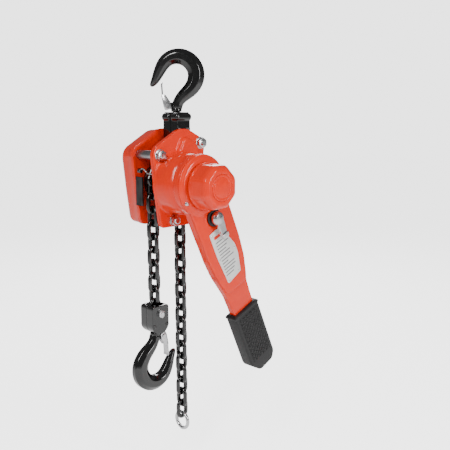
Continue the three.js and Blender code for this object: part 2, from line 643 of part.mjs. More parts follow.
piece('lever_body', cut(
  joined(disc(LEVER_HOUSING_R, LEVER_FRONT, LEVER_REAR, 0, 0, 30),
    plate(armOutline(-LEVER_LENGTH + 8, tongueHalf), LEVER_FRONT, LEVER_REAR)),
  disc(DRIVE_TIP_R + 3.5, LEVER_FRONT - 1, LEVER_REAR - 2.5, 0, 0, 24), sweep,
  disc(NECK_R + GAP, LEVER_FRONT - 1, LEVER_REAR + 1, 0, 0), selectorBore,
), RED, lever);

const COVER_END = -158;
piece('lever_cover', cut(
  joined(
    disc(LEVER_HOUSING_R, COVER_FRONT + 1, LEVER_FRONT - GAP, 0, 0, 30),
    plate(armOutline(COVER_END, 0), COVER_FRONT + 1, LEVER_FRONT - GAP),
    loft([[COVER_FRONT + 1.2, 37], [COVER_FRONT - 2.6, 31]].map(([y, r]) => ({ y, outline: ring(r, 30) }))),
  ),
  disc(NECK_R + GAP, COVER_FRONT - 9, LEVER_FRONT + 1, 0, 0), selectorBore,
), RED, lever);

function grip() {
  const middle = (LEVER_REAR + LEVER_FRONT) / 2;
  const half = GRIP_DEPTH / 2;
  const outline = (w, end) => rounded([[-w, GRIP_TOP], [-w, end + 18], [-w + 14, end], [w - 8, end],
    [w, end + 10], [w, GRIP_TOP]], 7, 4);
  const body = loft([[-half, 0.93], [-half + 3, 1], [half - 3, 1], [half, 0.93]].map(([y, share]) => ({
    y: middle + y, outline: scaled(outline(GRIP_HALF, -LEVER_LENGTH), share, 0, GRIP_TOP - GRIP_LENGTH / 2),
  })));
  const core = armOutline(-LEVER_LENGTH + 8, tongueHalf);
  const grown = scaled(core, 1.025, 0, GRIP_TOP - GRIP_LENGTH / 2);
  return cut(body, plate(grown, LEVER_FRONT - GAP, LEVER_REAR + GAP));
}
piece('lever_grip', grip(), RUBBER, lever);
const plateOutline = rounded([[-17, -66], [-3.5, -66], [13, -147], [-14, -147]], 4);
piece('rating_plate', plate(plateOutline, COVER_FRONT - 0.1, COVER_FRONT + 1 - GAP), WHITE, lever);

// ---- Selector and change pawl: neutral when the knob points along the lever ---------------------
const PRONG = 25.6;
const PRONG_LEAN = THREE.MathUtils.degToRad(30);
const pawlLow = TEETH_LOW + 0.6;
const pawlHigh = TEETH_HIGH - 0.6;
const prong = (sign) => plate(belt(0, -SELECTOR_REACH, 5.5, sign * PRONG * Math.sin(PRONG_LEAN),
  -SELECTOR_REACH + PRONG * Math.cos(PRONG_LEAN) - 1.2, 0.9), pawlLow, pawlHigh);
piece('change_pawl', cut(
  joined(disc(6.5, pawlLow, pawlHigh, 0, -SELECTOR_REACH, 16), prong(-1), prong(1)),
  disc(3.5 + GAP, pawlLow - 1, pawlHigh + 1, 0, -SELECTOR_REACH, 16),
), DARK_STEEL, lever);
const KNOB_LOW = COVER_FRONT - 2.6;
piece('selector_lever', joined(
  disc(3.5, KNOB_LOW - 1, LEVER_REAR - 3, 0, -SELECTOR_REACH, 16),
  disc(9, KNOB_LOW - 5, KNOB_LOW, 0, -SELECTOR_REACH, 20),
  plate(belt(0, -SELECTOR_REACH, 6, 0, -SELECTOR_REACH - 26, 4.5), KNOB_LOW - 9, KNOB_LOW - 3),
), ZINC, lever);

// ---- Handwheel ----------------------------------------------------------------------------------
function lobed(radius) {
  return ring(radius, 40).map((p, i) => p.multiplyScalar(1 + 0.035 * Math.cos((8 * 2 * Math.PI * i) / 40)));
}
function handwheel() {
  const at = (drop, share) => ({ y: WHEEL_REAR - drop, outline: lobed(HANDWHEEL_R * share) });
  const face = HANDWHEEL_FACE_R / HANDWHEEL_R;
  const body = loft([at(3, 0.97), at(HANDWHEEL_DEPTH - 9, 0.93), at(HANDWHEEL_DEPTH - 3, face + 0.1),
    at(HANDWHEEL_DEPTH, face)]);
  const flange = disc(HANDWHEEL_R + 0.5, WHEEL_REAR - 4, WHEEL_REAR, 0, 0, 30);
  const cup = disc(HANDWHEEL_R - 5, WHEEL_REAR - 14, WHEEL_REAR + 1, 0, 0, 24);
  const recess = disc(HANDWHEEL_FACE_R - 5, WHEEL_FACE - 1, WHEEL_FACE + 2.5, 0, 0, 24);
  const boss = disc(11, WHEEL_FACE + 2.5, COVER_FRONT - GAP, 0, 0, 16);
  return onShaft(cut(joined(cut(joined(body, flange), cup, recess), boss), noseBore(-120, 0)));
}
piece('handwheel', handwheel(), RED);
const capLow = WHEEL_FACE - 0.5;
piece('handwheel_cap', onShaft(disc(HANDWHEEL_FACE_R - 5 - GAP, capLow, WHEEL_FACE + 0.7, 0, 0, 24)), RED);

// ---- Load chain ---------------------------------------------------------------------------------
const LINK_STEPS = 3;            // segments in each rounded end
const WIRE_SIDES = 6;
const linkR = (LINK_WIDTH - WIRE) / 2;
const straight = (PITCH + WIRE - 2 * linkR) / 2;
const crown = 1 / Math.cos(Math.PI / LINK_STEPS / 2);         // puts the end's flat side on the arc's crown

// One link with its long axis along Z: across = 'x' or 'y' names the axis of its width.
function link(cx, cz, across, turn = 0, wireR = (WIRE + FUSE) / 2) {
  const point = (u, z) => new THREE.Vector3(across === 'x' ? u : 0, across === 'y' ? u : 0, z);
  const rounds = [];
  for (let end = 0; end < 2; end += 1) {
    for (let i = 0; i <= LINK_STEPS; i += 1) {
      const angle = (Math.PI * i) / LINK_STEPS + end * Math.PI;
      const leg = end ? -straight : straight;
      rounds.push(point(linkR * Math.cos(angle), linkR * crown * Math.sin(angle) + leg));
    }
  }
  const place = [];
  const faces = [];
  const count = rounds.length;
  const flat = new THREE.Vector3(across === 'x' ? 0 : 1, across === 'x' ? 1 : 0, 0);
  rounds.forEach((p, i) => {
    const before = rounds.at(i - 1);
    const after = rounds[(i + 1) % count];
    const out = after.clone().sub(before).normalize().cross(flat).normalize();
    const mitre = (i % (LINK_STEPS + 1)) % LINK_STEPS ? crown : 1;
    for (let k = 0; k < WIRE_SIDES; k += 1) {
      const angle = (2 * Math.PI * k) / WIRE_SIDES;
      const q = p.clone().addScaledVector(out, wireR * mitre * Math.cos(angle));
      q.addScaledVector(flat, wireR * Math.sin(angle));
      place.push(q.x, q.y, q.z);
    }
  });
  for (let i = 0; i < count; i += 1) {
    for (let k = 0; k < WIRE_SIDES; k += 1) {
      const a = i * WIRE_SIDES + k;
      const b = i * WIRE_SIDES + ((k + 1) % WIRE_SIDES);
      const c = ((i + 1) % count) * WIRE_SIDES + k;
      const d = ((i + 1) % count) * WIRE_SIDES + ((k + 1) % WIRE_SIDES);
      faces.push(a, b, c, b, d, c);
    }
  }
  const geometry = new THREE.BufferGeometry();
  geometry.setAttribute('position', new THREE.Float32BufferAttribute(place, 3));
  geometry.setIndex(faces);
  return solid(geometry).rotate([0, turn, 0]).translate(cx, 0, cz);
}

const linkZ = (k) => SHAFT_Z - PITCH / 2 - PITCH * k;
const freeR = (WIRE - GAP) / 2;  // wire of a link whose neighbour is another piece
const hookLink = (k, wireR) => link(HOOK_X, linkZ(k), k % 2 ? 'x' : 'y', 0, wireR);
const slackLink = (k, wireR) => link(SLACK_X, linkZ(k), k % 2 ? 'y' : 'x', 0, wireR);
const run = (make, from, to, free) => {
  const links = [];
  for (let k = from; k <= to; k += 1) links.push(make(k, free.includes(k) ? freeR : undefined));
  return joined(...links);
};
const wrapped = (i) => {
  const angle = FIRST_LINK + (2 * Math.PI * i) / LINKS_ROUND;
  const x = SHAFT_X + WRAP_R * Math.cos(angle);
  const z = SHAFT_Z + WRAP_R * Math.sin(angle);
  return link(x, z, i % 2 ? 'x' : 'y', -THREE.MathUtils.radToDeg(angle));
};
const HOUSED = 2;                // last link of each fall that stays inside the plates
const HOOK_LINKS = 9;            // last link of the hook fall, on the load pin
const SLACK_JOINT = 10;          // last link of the upper slack fall
const SLACK_END = 18;            // last link of the slack fall
piece('chain_on_sheave', joined(
  run(wrapped, 0, LINKS_ROUND / 2 - 1, []),
  run(hookLink, 0, HOUSED, [HOUSED]), run(slackLink, 0, HOUSED, [HOUSED]),
), BLACK);
piece('hook_chain', run(hookLink, HOUSED + 1, HOOK_LINKS, [HOUSED + 1, HOOK_LINKS]), BLACK);
piece('slack_chain_upper', run(slackLink, HOUSED + 1, SLACK_JOINT, [HOUSED + 1, SLACK_JOINT]), BLACK);
piece('slack_chain_lower', run(slackLink, SLACK_JOINT + 1, SLACK_END, [SLACK_JOINT + 1, SLACK_END]), BLACK);
const END_RING_R = 12;
const END_WIRE = 5;
const endRingZ = linkZ(SLACK_END) - PITCH / 2 + END_WIRE / 2 + 2 * GAP - END_RING_R;
const endRing = new THREE.TorusGeometry(END_RING_R, END_WIRE / 2, 8, 20).rotateY(Math.PI / 2);
piece('chain_end_ring', solid(endRing).translate(SLACK_X, 0, endRingZ), ZINC);

// ---- Bottom block and hook ----------------------------------------------------------------------
const LOAD_PIN_R = 3.2;
const LOAD_Z = linkZ(HOOK_LINKS) - PITCH / 2 + LOAD_PIN_R + 2 * GAP;
const BLOCK_TOP = LOAD_Z + 11;
const BLOCK_LOW = BLOCK_TOP - BLOCK_HEIGHT;
const BLOCK_BOLT_Z = BLOCK_LOW + 11.5;
const BLOCK_BOLT_X = 11;
function blockHalf(low, high) {
  const half = BLOCK_X / 2;
  const outline = rounded([[-half, BLOCK_TOP], [-half, BLOCK_LOW + 8], [-half + 7, BLOCK_LOW],
    [half - 7, BLOCK_LOW], [half, BLOCK_LOW + 8], [half, BLOCK_TOP]], 4);
  const throat = solid(new THREE.CylinderGeometry(LINK_WIDTH / 2 + 1.4, LINK_WIDTH / 2 + 1.4, 10, 20)
    .rotateX(Math.PI / 2).translate(0, 0, BLOCK_TOP));
  const slot = box(LINK_WIDTH + 2, WIRE + 2.2, 34, 0, 0, BLOCK_TOP - 5);
  const bore = shankBore(0).rotate([0, 180, 0]).translate(0, 0, BLOCK_LOW);
  return cut(
    plate(outline, low, high), throat, slot, bore, disc(LOAD_PIN_R + GAP, low - 1, high + 1, 0, LOAD_Z, 16),
    ...[-1, 1].map((s) => disc(1.5 + GAP, low - 1, high + 1, s * BLOCK_BOLT_X, BLOCK_BOLT_Z, 8)),
  ).translate(HOOK_X, 0, 0);
}
piece('hook_block_front', blockHalf(-BLOCK_Y / 2, -GAP / 2), BLACK);
piece('hook_block_rear', blockHalf(GAP / 2, BLOCK_Y / 2), BLACK);
const blockFace = BLOCK_Y / 2 + GAP;
piece('load_pin', joined(
  disc(LOAD_PIN_R, -blockFace - 1, blockFace + 1, 0, LOAD_Z, 16),
  disc(5.5, -blockFace - 4, -blockFace, 0, LOAD_Z, 6), disc(5.5, blockFace, blockFace + 3, 0, LOAD_Z, 6),
).translate(HOOK_X, 0, 0), ZINC);
['left', 'right'].forEach((side, i) => {
  const x = HOOK_X + (2 * i - 1) * BLOCK_BOLT_X;
  piece(`block_rivet_${side}`, joined(
    disc(1.5, -blockFace - 0.5, blockFace + 0.5, x, BLOCK_BOLT_Z, 8),
    disc(2.4, -blockFace - 1.2, -blockFace, x, BLOCK_BOLT_Z, 8),
    disc(2.4, blockFace, blockFace + 1.2, x, BLOCK_BOLT_Z, 8),
  ), DARK_STEEL);
});

const bottomHook = new THREE.Group();
bottomHook.position.set(HOOK_X, 0, BLOCK_LOW + YOKE_TOP);
bottomHook.rotation.y = Math.PI;
hoist.add(bottomHook);
hookSet('bottom', bottomHook, YOKE_TOP);

export default hoist;
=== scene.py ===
import json
import math

import bpy
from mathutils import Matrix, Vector


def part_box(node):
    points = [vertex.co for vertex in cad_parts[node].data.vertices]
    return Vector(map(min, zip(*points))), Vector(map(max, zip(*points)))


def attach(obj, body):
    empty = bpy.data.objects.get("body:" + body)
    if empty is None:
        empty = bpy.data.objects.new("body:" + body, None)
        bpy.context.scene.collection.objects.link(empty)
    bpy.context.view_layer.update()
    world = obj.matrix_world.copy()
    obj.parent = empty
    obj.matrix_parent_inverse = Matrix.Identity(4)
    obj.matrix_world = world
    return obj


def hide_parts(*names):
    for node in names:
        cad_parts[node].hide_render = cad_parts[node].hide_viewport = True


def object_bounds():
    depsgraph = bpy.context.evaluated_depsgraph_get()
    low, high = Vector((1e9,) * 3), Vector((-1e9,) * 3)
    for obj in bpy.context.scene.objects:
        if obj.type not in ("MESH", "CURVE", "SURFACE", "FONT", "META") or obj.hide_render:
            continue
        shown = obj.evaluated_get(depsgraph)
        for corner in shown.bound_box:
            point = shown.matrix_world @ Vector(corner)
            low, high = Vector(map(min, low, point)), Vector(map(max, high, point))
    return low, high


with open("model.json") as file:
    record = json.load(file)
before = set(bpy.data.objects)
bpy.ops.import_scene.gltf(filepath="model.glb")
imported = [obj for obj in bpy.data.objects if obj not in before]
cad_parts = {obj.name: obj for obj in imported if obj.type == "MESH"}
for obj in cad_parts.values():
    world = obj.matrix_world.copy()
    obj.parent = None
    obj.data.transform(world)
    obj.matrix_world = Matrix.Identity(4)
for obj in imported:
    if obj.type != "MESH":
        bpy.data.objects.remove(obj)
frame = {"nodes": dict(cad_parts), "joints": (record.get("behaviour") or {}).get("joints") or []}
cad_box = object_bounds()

# ---- Camera and lamps -----------------------------------------------------------------------------
# The hoist hangs by its top hook, seen from its left front corner and a little above. Large soft
# lamps leave long highlights on the enamel.
MM = 0.001
VIEW_TURN, VIEW_RISE = math.radians(-45), math.radians(10)
CAMERA_PLACE, CAMERA_LENS = Vector((-565.3, -657.2, -65.4)), 50.9
bpy.ops.object.select_all(action="DESELECT")
bpy.ops.object.camera_add(
    location=CAMERA_PLACE * MM, rotation=(math.pi / 2 - VIEW_RISE, 0, VIEW_TURN))
bpy.context.object.data.lens = CAMERA_LENS
bpy.context.scene.camera = bpy.context.object
MIDDLE = Vector((0, -0.02, -0.2))
for name, place, width, height, power in [
        ("key_lamp", (-1.1, -0.6, 0.75), 0.22, 1.2, 19),
        ("front_lamp", (0.35, -1.5, 0.25), 0.25, 1.0, 15),
        ("back_lamp", (0.9, 0.9, 0.6), 0.5, 1.0, 14)]:
    aim = (MIDDLE - Vector(place)).to_track_quat("-Z", "Y").to_euler()
    bpy.ops.object.light_add(type="AREA", location=place, rotation=aim)
    lamp = bpy.context.object
    lamp.name = name
    lamp.data.shape = "RECTANGLE"
    lamp.data.size, lamp.data.size_y, lamp.data.energy = width, height, power
studio = bpy.data.worlds.new("studio")
bpy.context.scene.world = studio
studio.use_nodes = True
# The studio's walls look white, and light the hoist dimly enough to keep its blacks deep.
WALL_GLOW, WALL_LOOK = 0.18, 3.0
walls, lights = studio.node_tree.nodes, studio.node_tree.links
seen = walls.new("ShaderNodeLightPath")
glow = walls.new("ShaderNodeMapRange")
glow.inputs["To Min"].default_value, glow.inputs["To Max"].default_value = WALL_GLOW, WALL_LOOK
lights.new(seen.outputs["Is Camera Ray"], glow.inputs["Value"])
lights.new(glow.outputs["Result"], walls["Background"].inputs["Strength"])
walls["Background"].inputs["Color"].default_value = (1, 1, 1, 1)

# ---- Side plates ----------------------------------------------------------------------------------
# Two 4 mm steel plates carry the whole load between them. They are cut to one outline, their edges
# are broken, and they are enamelled red like the covers.
PLATE_EDGE = 0.6


def work_on(piece):
    """Leaves object mode with the piece as the only thing selected."""
    if bpy.context.object and bpy.context.object.mode != "OBJECT":
        bpy.ops.object.mode_set(mode="OBJECT")
    bpy.ops.object.select_all(action="DESELECT")
    if piece:
        piece.select_set(True)
        bpy.context.view_layer.objects.active = piece
    return piece


def copy_of(node, name):
    """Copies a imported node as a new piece, with its loose triangles merged into faces."""
    work_on(frame["nodes"][node])
    bpy.ops.object.duplicate()
    piece = bpy.context.object
    piece.name = name
    for mark in list(piece.keys()):
        del piece[mark]
    bpy.ops.object.mode_set(mode="EDIT")
    bpy.ops.mesh.select_all(action="SELECT")
    bpy.ops.mesh.remove_doubles(threshold=MM / 1000)
    bpy.ops.mesh.dissolve_limited(angle_limit=math.radians(1))
    bpy.ops.object.mode_set(mode="OBJECT")
    return piece


def apply_modifier(piece, kind, **settings):
    """Adds a modifier with its settings and applies it to the mesh."""
    work_on(piece)
    modifier = piece.modifiers.new(kind.lower(), kind)
    for setting, value in settings.items():
        setattr(modifier, setting, value)
    bpy.ops.object.modifier_apply(modifier=modifier.name)
    return piece


def soften(piece, edge, segments=3, sharp=30):
    """Rounds the edges sharper than an angle, edge millimetres wide, and shades the rest smooth."""
    if edge:
        apply_modifier(piece, "BEVEL", width=edge * MM, segments=segments, limit_method="ANGLE",
                       angle_limit=math.radians(sharp))
    work_on(piece)
    bpy.ops.object.shade_smooth_by_angle(angle=math.radians(40))
    return piece


def finish(name, light, dark, roughness, metallic=0.0, coat=0.0, grain=300, relief=0.05, lay=(1, 1, 1),
           gloss=0.5):
    """A surface whose colour, roughness and relief wander over the piece, grain bumps to the metre."""
    surface = bpy.data.materials.new(name)
    surface.use_nodes = True
    nodes, links = surface.node_tree.nodes, surface.node_tree.links
    shader = nodes["Principled BSDF"]
    place = nodes.new("ShaderNodeTexCoord")
    mapping = nodes.new("ShaderNodeMapping")
    mapping.inputs["Scale"].default_value = lay
    links.new(place.outputs["Object"], mapping.inputs["Vector"])
    clouds, smears, pores = (nodes.new("ShaderNodeTexNoise") for _ in range(3))
    for noise, scale in ((clouds, grain / 6), (smears, grain / 2), (pores, grain)):
        noise.inputs["Scale"].default_value = scale
        links.new(mapping.outputs["Vector"], noise.inputs["Vector"])
    tint = nodes.new("ShaderNodeValToRGB")
    tint.color_ramp.elements[0].position, tint.color_ramp.elements[1].position = 0.3, 0.72
    tint.color_ramp.elements[0].color, tint.color_ramp.elements[1].color = (*dark, 1), (*light, 1)
    links.new(clouds.outputs["Fac"], tint.inputs["Fac"])
    links.new(tint.outputs["Color"], shader.inputs["Base Color"])
    polish = nodes.new("ShaderNodeMapRange")
    polish.inputs["To Min"].default_value, polish.inputs["To Max"].default_value = roughness
    links.new(smears.outputs["Fac"], polish.inputs["Value"])
    links.new(polish.outputs["Result"], shader.inputs["Roughness"])
    bump = nodes.new("ShaderNodeBump")
    bump.inputs["Strength"].default_value = relief
    bump.inputs["Distance"].default_value = 0.4 * MM
    links.new(pores.outputs["Fac"], bump.inputs["Height"])
    links.new(bump.outputs["Normal"], shader.inputs["Normal"])
    shader.inputs["Metallic"].default_value = metallic
    shader.inputs["Specular IOR Level"].default_value = gloss
    shader.inputs["Coat Weight"].default_value = coat
    shader.inputs["Coat Roughness"].default_value = 0.08
    return surface


def fit(piece, body, slot, surface, *nodes):
    """Gives a finished piece its surface and the body it moves with, and hides the nodes it stands for."""
    piece.data.materials.clear()
    piece.data.materials.append(surface)
    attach(piece, body)
    if nodes:
        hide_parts(*nodes)
    return piece


red_enamel = finish("red_enamel", (0.88, 0.03, 0.001), (0.82, 0.022, 0.001), (0.16, 0.24), coat=0.25,
                    grain=500, relief=0.012, gloss=0.3)
for side in ("front", "rear"):
    plate = soften(copy_of(f"{side}_side_plate", f"{side}_plate_cut"), PLATE_EDGE, 2, 50)
    fit(plate, "frame", "red_enamel", red_enamel, f"{side}_side_plate")

# ---- Sheave, bearings and gear train --------------------------------------------------------------
# The pocketed load sheave runs in plated bearings between the plates, with the guides and the
# stripper that keep the chain in its pockets. The hardened gears behind it run in grease.


def dress(surface, *nodes):
    """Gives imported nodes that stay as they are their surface."""
    for node in nodes:
        frame["nodes"][node].data.materials.clear()
        frame["nodes"][node].data.materials.append(surface)


zinc = finish("bright_zinc", (0.72, 0.72, 0.73), (0.55, 0.55, 0.56), (0.14, 0.3), metallic=1, grain=500,
              relief=0.1)
oiled_steel = finish("oiled_steel", (0.12, 0.12, 0.125), (0.05, 0.048, 0.045), (0.22, 0.5), metallic=1,
                     grain=500, relief=0.2)
dress(zinc, "sheave_bearing_front", "sheave_bearing_rear")
dress(oiled_steel, "load_sheave", "load_gear", "disc_gear_upper", "disc_gear_lower", "chain_guide_left",
      "chain_guide_right", "chain_stripper")

# ---- Load chain -----------------------------------------------------------------------------------
# Short-link lifting chain: round alloy wire bent and butt welded, blackened and oiled. One link is a
# ring drawn out lengthways, and the rest are copies, each turned a quarter from its neighbour.
WIRE, PITCH, LINK_WIDTH = 6.0, 18.0, 20.0
BEND_R = (LINK_WIDTH - WIRE) / 2
LINK_SEGMENTS = 28


def pick(piece, kind, test):
    """Selects, in edit mode, the faces, edges or points (FACE, EDGE, VERT) that pass a test."""
    bpy.ops.object.mode_set(mode="EDIT")
    bpy.ops.mesh.select_mode(type=kind)
    bpy.ops.mesh.select_all(action="DESELECT")
    bpy.ops.object.mode_set(mode="OBJECT")
    parts = {"FACE": piece.data.polygons, "EDGE": piece.data.edges, "VERT": piece.data.vertices}[kind]
    for part in parts:
        if test(part):
            part.select = True
    bpy.ops.object.mode_set(mode="EDIT")


def settle(piece, place=(0, 0, 0), turn=(0, 0, 0)):
    """Moves and turns a piece from its own frame to its place, in millimetres, into its mesh."""
    work_on(piece)
    piece.location = Vector(place) * MM
    piece.rotation_euler = turn
    bpy.ops.object.transform_apply(location=True, rotation=True, scale=True)
    return piece


work_on(None)
bpy.ops.mesh.primitive_torus_add(
    major_segments=LINK_SEGMENTS, minor_segments=14, major_radius=BEND_R * MM, minor_radius=WIRE / 2 * MM,
    rotation=(math.pi / 2, math.pi / LINK_SEGMENTS, 0))
first_link = settle(bpy.context.object, turn=bpy.context.object.rotation_euler)
STRETCH = (PITCH + WIRE) / 2 - BEND_R
WELD_SWELL, WELD_HALF = 1.05, 1.1
for end in (1, -1):
    pick(first_link, "VERT", lambda point: point.co.z * end > 0)
    bpy.ops.transform.translate(value=(0, 0, end * STRETCH * MM))
# The butt weld stands a little proud, half way along one side.
pick(first_link, "EDGE", lambda edge: all(
    first_link.data.vertices[i].co.x > 3 * MM and abs(first_link.data.vertices[i].co.z) < STRETCH * 1.4 * MM
    for i in edge.vertices))
bpy.ops.mesh.subdivide(number_cuts=3)
bpy.ops.object.mode_set(mode="OBJECT")
pick(first_link, "VERT", lambda point: point.co.x > 0 and abs(point.co.z) < WELD_HALF * MM)
bpy.ops.transform.resize(value=(WELD_SWELL, WELD_SWELL, 1), center_override=(BEND_R * MM, 0, 0))
work_on(first_link)
bpy.ops.object.shade_smooth()

black_enamel = finish("black_enamel", (0.003, 0.003, 0.0035), (0.0015, 0.0015, 0.0015), (0.1, 0.22),
                      coat=0.7, grain=500, relief=0.1)
joints = {joint["name"]: joint for joint in frame["joints"]}
SHAFT = Vector(joints["drive_spin"]["pos_m"]) / MM
HOOK_X = joints["block_swing"]["pos_m"][0] / MM
SLACK_X = joints["slack_swing"]["pos_m"][0] / MM


def hang_link(name, body, x, z, crossways, lean=0.0, size=1.0, nodes=()):
    """Hangs a copy of the link at x and z, edge on to the sheave when crossways, leaned about Y."""
    work_on(first_link)
    bpy.ops.object.duplicate()
    link = bpy.context.object
    link.name = name
    link.scale = (size, size, size)
    settle(link, turn=(0, 0, math.pi / 2 if crossways else 0))
    settle(link, (x, 0, z), (0, lean, 0))
    fit(link, body, "black_enamel", black_enamel, *nodes)


FALL_TOP = SHAFT.z - PITCH / 2
HOUSED, HOOK_LAST, SLACK_SPLIT, SLACK_LAST = 2, 9, 10, 18
for k in range(HOOK_LAST + 1):
    body, nodes = ("frame", ()) if k <= HOUSED else ("hook_fall", ("hook_chain",))
    hang_link(f"hook_link_{k:02d}", body, HOOK_X, FALL_TOP - k * PITCH, k % 2 == 0, nodes=nodes)
for k in range(SLACK_LAST + 1):
    part = "upper" if k <= SLACK_SPLIT else "lower"
    body, nodes = ("frame", ()) if k <= HOUSED else (f"slack_{part}", (f"slack_chain_{part}",))
    hang_link(f"slack_link_{k:02d}", body, SLACK_X, FALL_TOP - k * PITCH, k % 2 == 1, nodes=nodes)
LINKS_ROUND = 8
WRAP_R = PITCH / 2 / math.tan(math.pi / LINKS_ROUND)
for k in range(LINKS_ROUND // 2):
    angle = (2 * k + 1) * math.pi / LINKS_ROUND
    hang_link(f"sheave_link_{k}", "frame", SHAFT.x + WRAP_R * math.cos(angle),
              SHAFT.z + WRAP_R * math.sin(angle), k % 2 == 0, lean=-angle, nodes=("chain_on_sheave",))
# The links that the sheave pays out as the hook rises lie, at rest, inside the slack fall's own.
PAID_OUT, PAID_OUT_SIZE = 4, 0.985
for k in range(HOUSED + 1, HOUSED + 1 + PAID_OUT):
    hang_link(f"paid_out_link_{k:02d}", "frame", SLACK_X, FALL_TOP - k * PITCH, k % 2 == 1,
              size=PAID_OUT_SIZE)
bpy.data.objects.remove(first_link)

# ---- Stays ----------------------------------------------------------------------------------------
# Three plated studs tie the side plates, over tube spacers, and clamp the covers under washers and
# hexagon nuts. A bent spring clip of bright wire steadies the hook fall between the plates.
STUD_R, THREAD_DEPTH, THREAD_PITCH, THREAD_LENGTH = 4.0, 0.4, 1.25, 14.0
WASHER_R, WASHER_THICK = 8.1, 0.7


def trace(name, points):
    """Starts a piece as one point, and extrudes it from point to point, in millimetres."""
    work_on(None)
    bpy.ops.mesh.primitive_plane_add(size=MM, location=Vector(points[0]) * MM)
    piece = bpy.context.object
    piece.name = name
    bpy.ops.object.transform_apply(location=True, rotation=True, scale=True)
    bpy.ops.object.mode_set(mode="EDIT")
    bpy.ops.mesh.select_mode(type="VERT")
    bpy.ops.mesh.select_all(action="SELECT")
    bpy.ops.mesh.merge(type="CENTER")
    for start, end in zip(points, points[1:]):
        step = (Vector(end) - Vector(start)) * MM
        bpy.ops.mesh.extrude_region_move(TRANSFORM_OT_translate={"value": step})
    return piece


def close_up():
    """Merges doubled points and turns every face outwards, in edit mode."""
    bpy.ops.mesh.select_all(action="SELECT")
    bpy.ops.mesh.remove_doubles(threshold=MM / 1000)
    bpy.ops.mesh.normals_make_consistent(inside=False)
    bpy.ops.object.mode_set(mode="OBJECT")


def lathe(name, profile, x, z, steps=64):
    """Spins a profile of (radius, y) points about the line along Y through x and z."""
    piece = trace(name, [(x + radius, y, z) for radius, y in profile])
    bpy.ops.mesh.select_all(action="SELECT")
    bpy.ops.mesh.spin(steps=steps, angle=2 * math.pi, center=Vector((x, 0, z)) * MM, axis=(0, 1, 0))
    close_up()
    return piece


def combine(piece, tool, operation="DIFFERENCE"):
    """Cuts a tool from a piece, or melts it in with UNION, or keeps what they share with INTERSECT."""
    apply_modifier(piece, "BOOLEAN", object=tool, operation=operation, solver="EXACT")
    bpy.data.objects.remove(tool)
    return piece


def hexagon_nut(name, x, z, low, high, radius):
    """A nut about Y, its corners turned off in a lathe at both ends."""
    work_on(None)
    bpy.ops.mesh.primitive_cylinder_add(
        vertices=6, radius=radius * MM, depth=(high - low) * MM, rotation=(math.pi / 2, 0, 0),
        location=Vector((x, (low + high) / 2, z)) * MM)
    nut = bpy.context.object
    nut.name = name
    bpy.ops.object.transform_apply(location=True, rotation=True, scale=True)
    flat = radius * 0.87
    bite = (radius - flat) * 0.6
    turned = lathe("turned", [(0, low), (flat, low), (radius + 0.1, low + bite), (radius + 0.1, high - bite),
                              (flat, high), (0, high)], x, z, 48)
    return soften(combine(nut, turned, "INTERSECT"), 0.2, 2)


def join(*pieces):
    """Joins pieces into the first of them."""
    work_on(pieces[0])
    for piece in pieces:
        piece.select_set(True)
    bpy.ops.object.join()
    return bpy.context.object


def middle_of(node):
    """The x and z of a node's middle, and its lowest and highest y, in millimetres."""
    low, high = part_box(node)
    return (low.x + high.x) / 2 / MM, (low.z + high.z) / 2 / MM, low.y / MM, high.y / MM


steel = finish("grey_steel", (0.42, 0.42, 0.43), (0.3, 0.3, 0.31), (0.28, 0.45), metallic=1, grain=600,
               relief=0.15, lay=(1, 6, 1))
for side in ("left", "right", "bottom"):
    x, z, low, high = middle_of(f"stay_stud_{side}")
    thread = []
    for k in range(int(THREAD_LENGTH / THREAD_PITCH)):
        y = low + 0.6 + k * THREAD_PITCH
        thread += [(STUD_R, y), (STUD_R - THREAD_DEPTH, y + THREAD_PITCH / 2)]
    stud = lathe(f"stud_{side}_rolled", [(0, low), (STUD_R - 0.7, low), *thread,
                 (STUD_R, low + THREAD_LENGTH), (STUD_R, high), (0, high)], x, z, 32)
    fit(soften(stud, 0), "frame", "zinc", zinc, f"stay_stud_{side}")
    x, z, low, high = middle_of(f"stay_nut_{side}")
    nut = hexagon_nut(f"nut_{side}_hexagon", x, z, low, high, (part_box(f"stay_nut_{side}")[1].x / MM - x))
    washer = lathe("washer", [(STUD_R, high - WASHER_THICK), (WASHER_R, high - WASHER_THICK),
                              (WASHER_R, high + 0.25),
                              (STUD_R, high + 0.25), (STUD_R, high - WASHER_THICK)], x, z, 48)
    fit(join(nut, soften(washer, 0.2, 2)), "frame", "zinc", zinc, f"stay_nut_{side}")
    x, z, low, high = middle_of(f"stay_spacer_{side}")
    tube_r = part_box(f"stay_spacer_{side}")[1].x / MM - x
    tube = lathe(f"spacer_{side}_tube", [(STUD_R + 0.3, low), (tube_r, low), (tube_r, high),
                 (STUD_R + 0.3, high), (STUD_R + 0.3, low)], x, z, 40)
    fit(soften(tube, 0.4, 2), "frame", "steel", steel, f"stay_spacer_{side}")


def bend_wire(name, points, thick):
    """Lays round wire along a line of points, and makes it a mesh with closed ends."""
    piece = trace(name, points)
    work_on(piece)
    bpy.ops.object.convert(target="CURVE")
    piece.data.bevel_depth = thick / 2 * MM
    piece.data.bevel_resolution = 4
    piece.data.use_fill_caps = True
    bpy.ops.object.convert(target="MESH")
    bpy.ops.object.mode_set(mode="EDIT")
    close_up()
    bpy.ops.object.shade_smooth_by_angle(angle=math.radians(50))
    return bpy.context.object


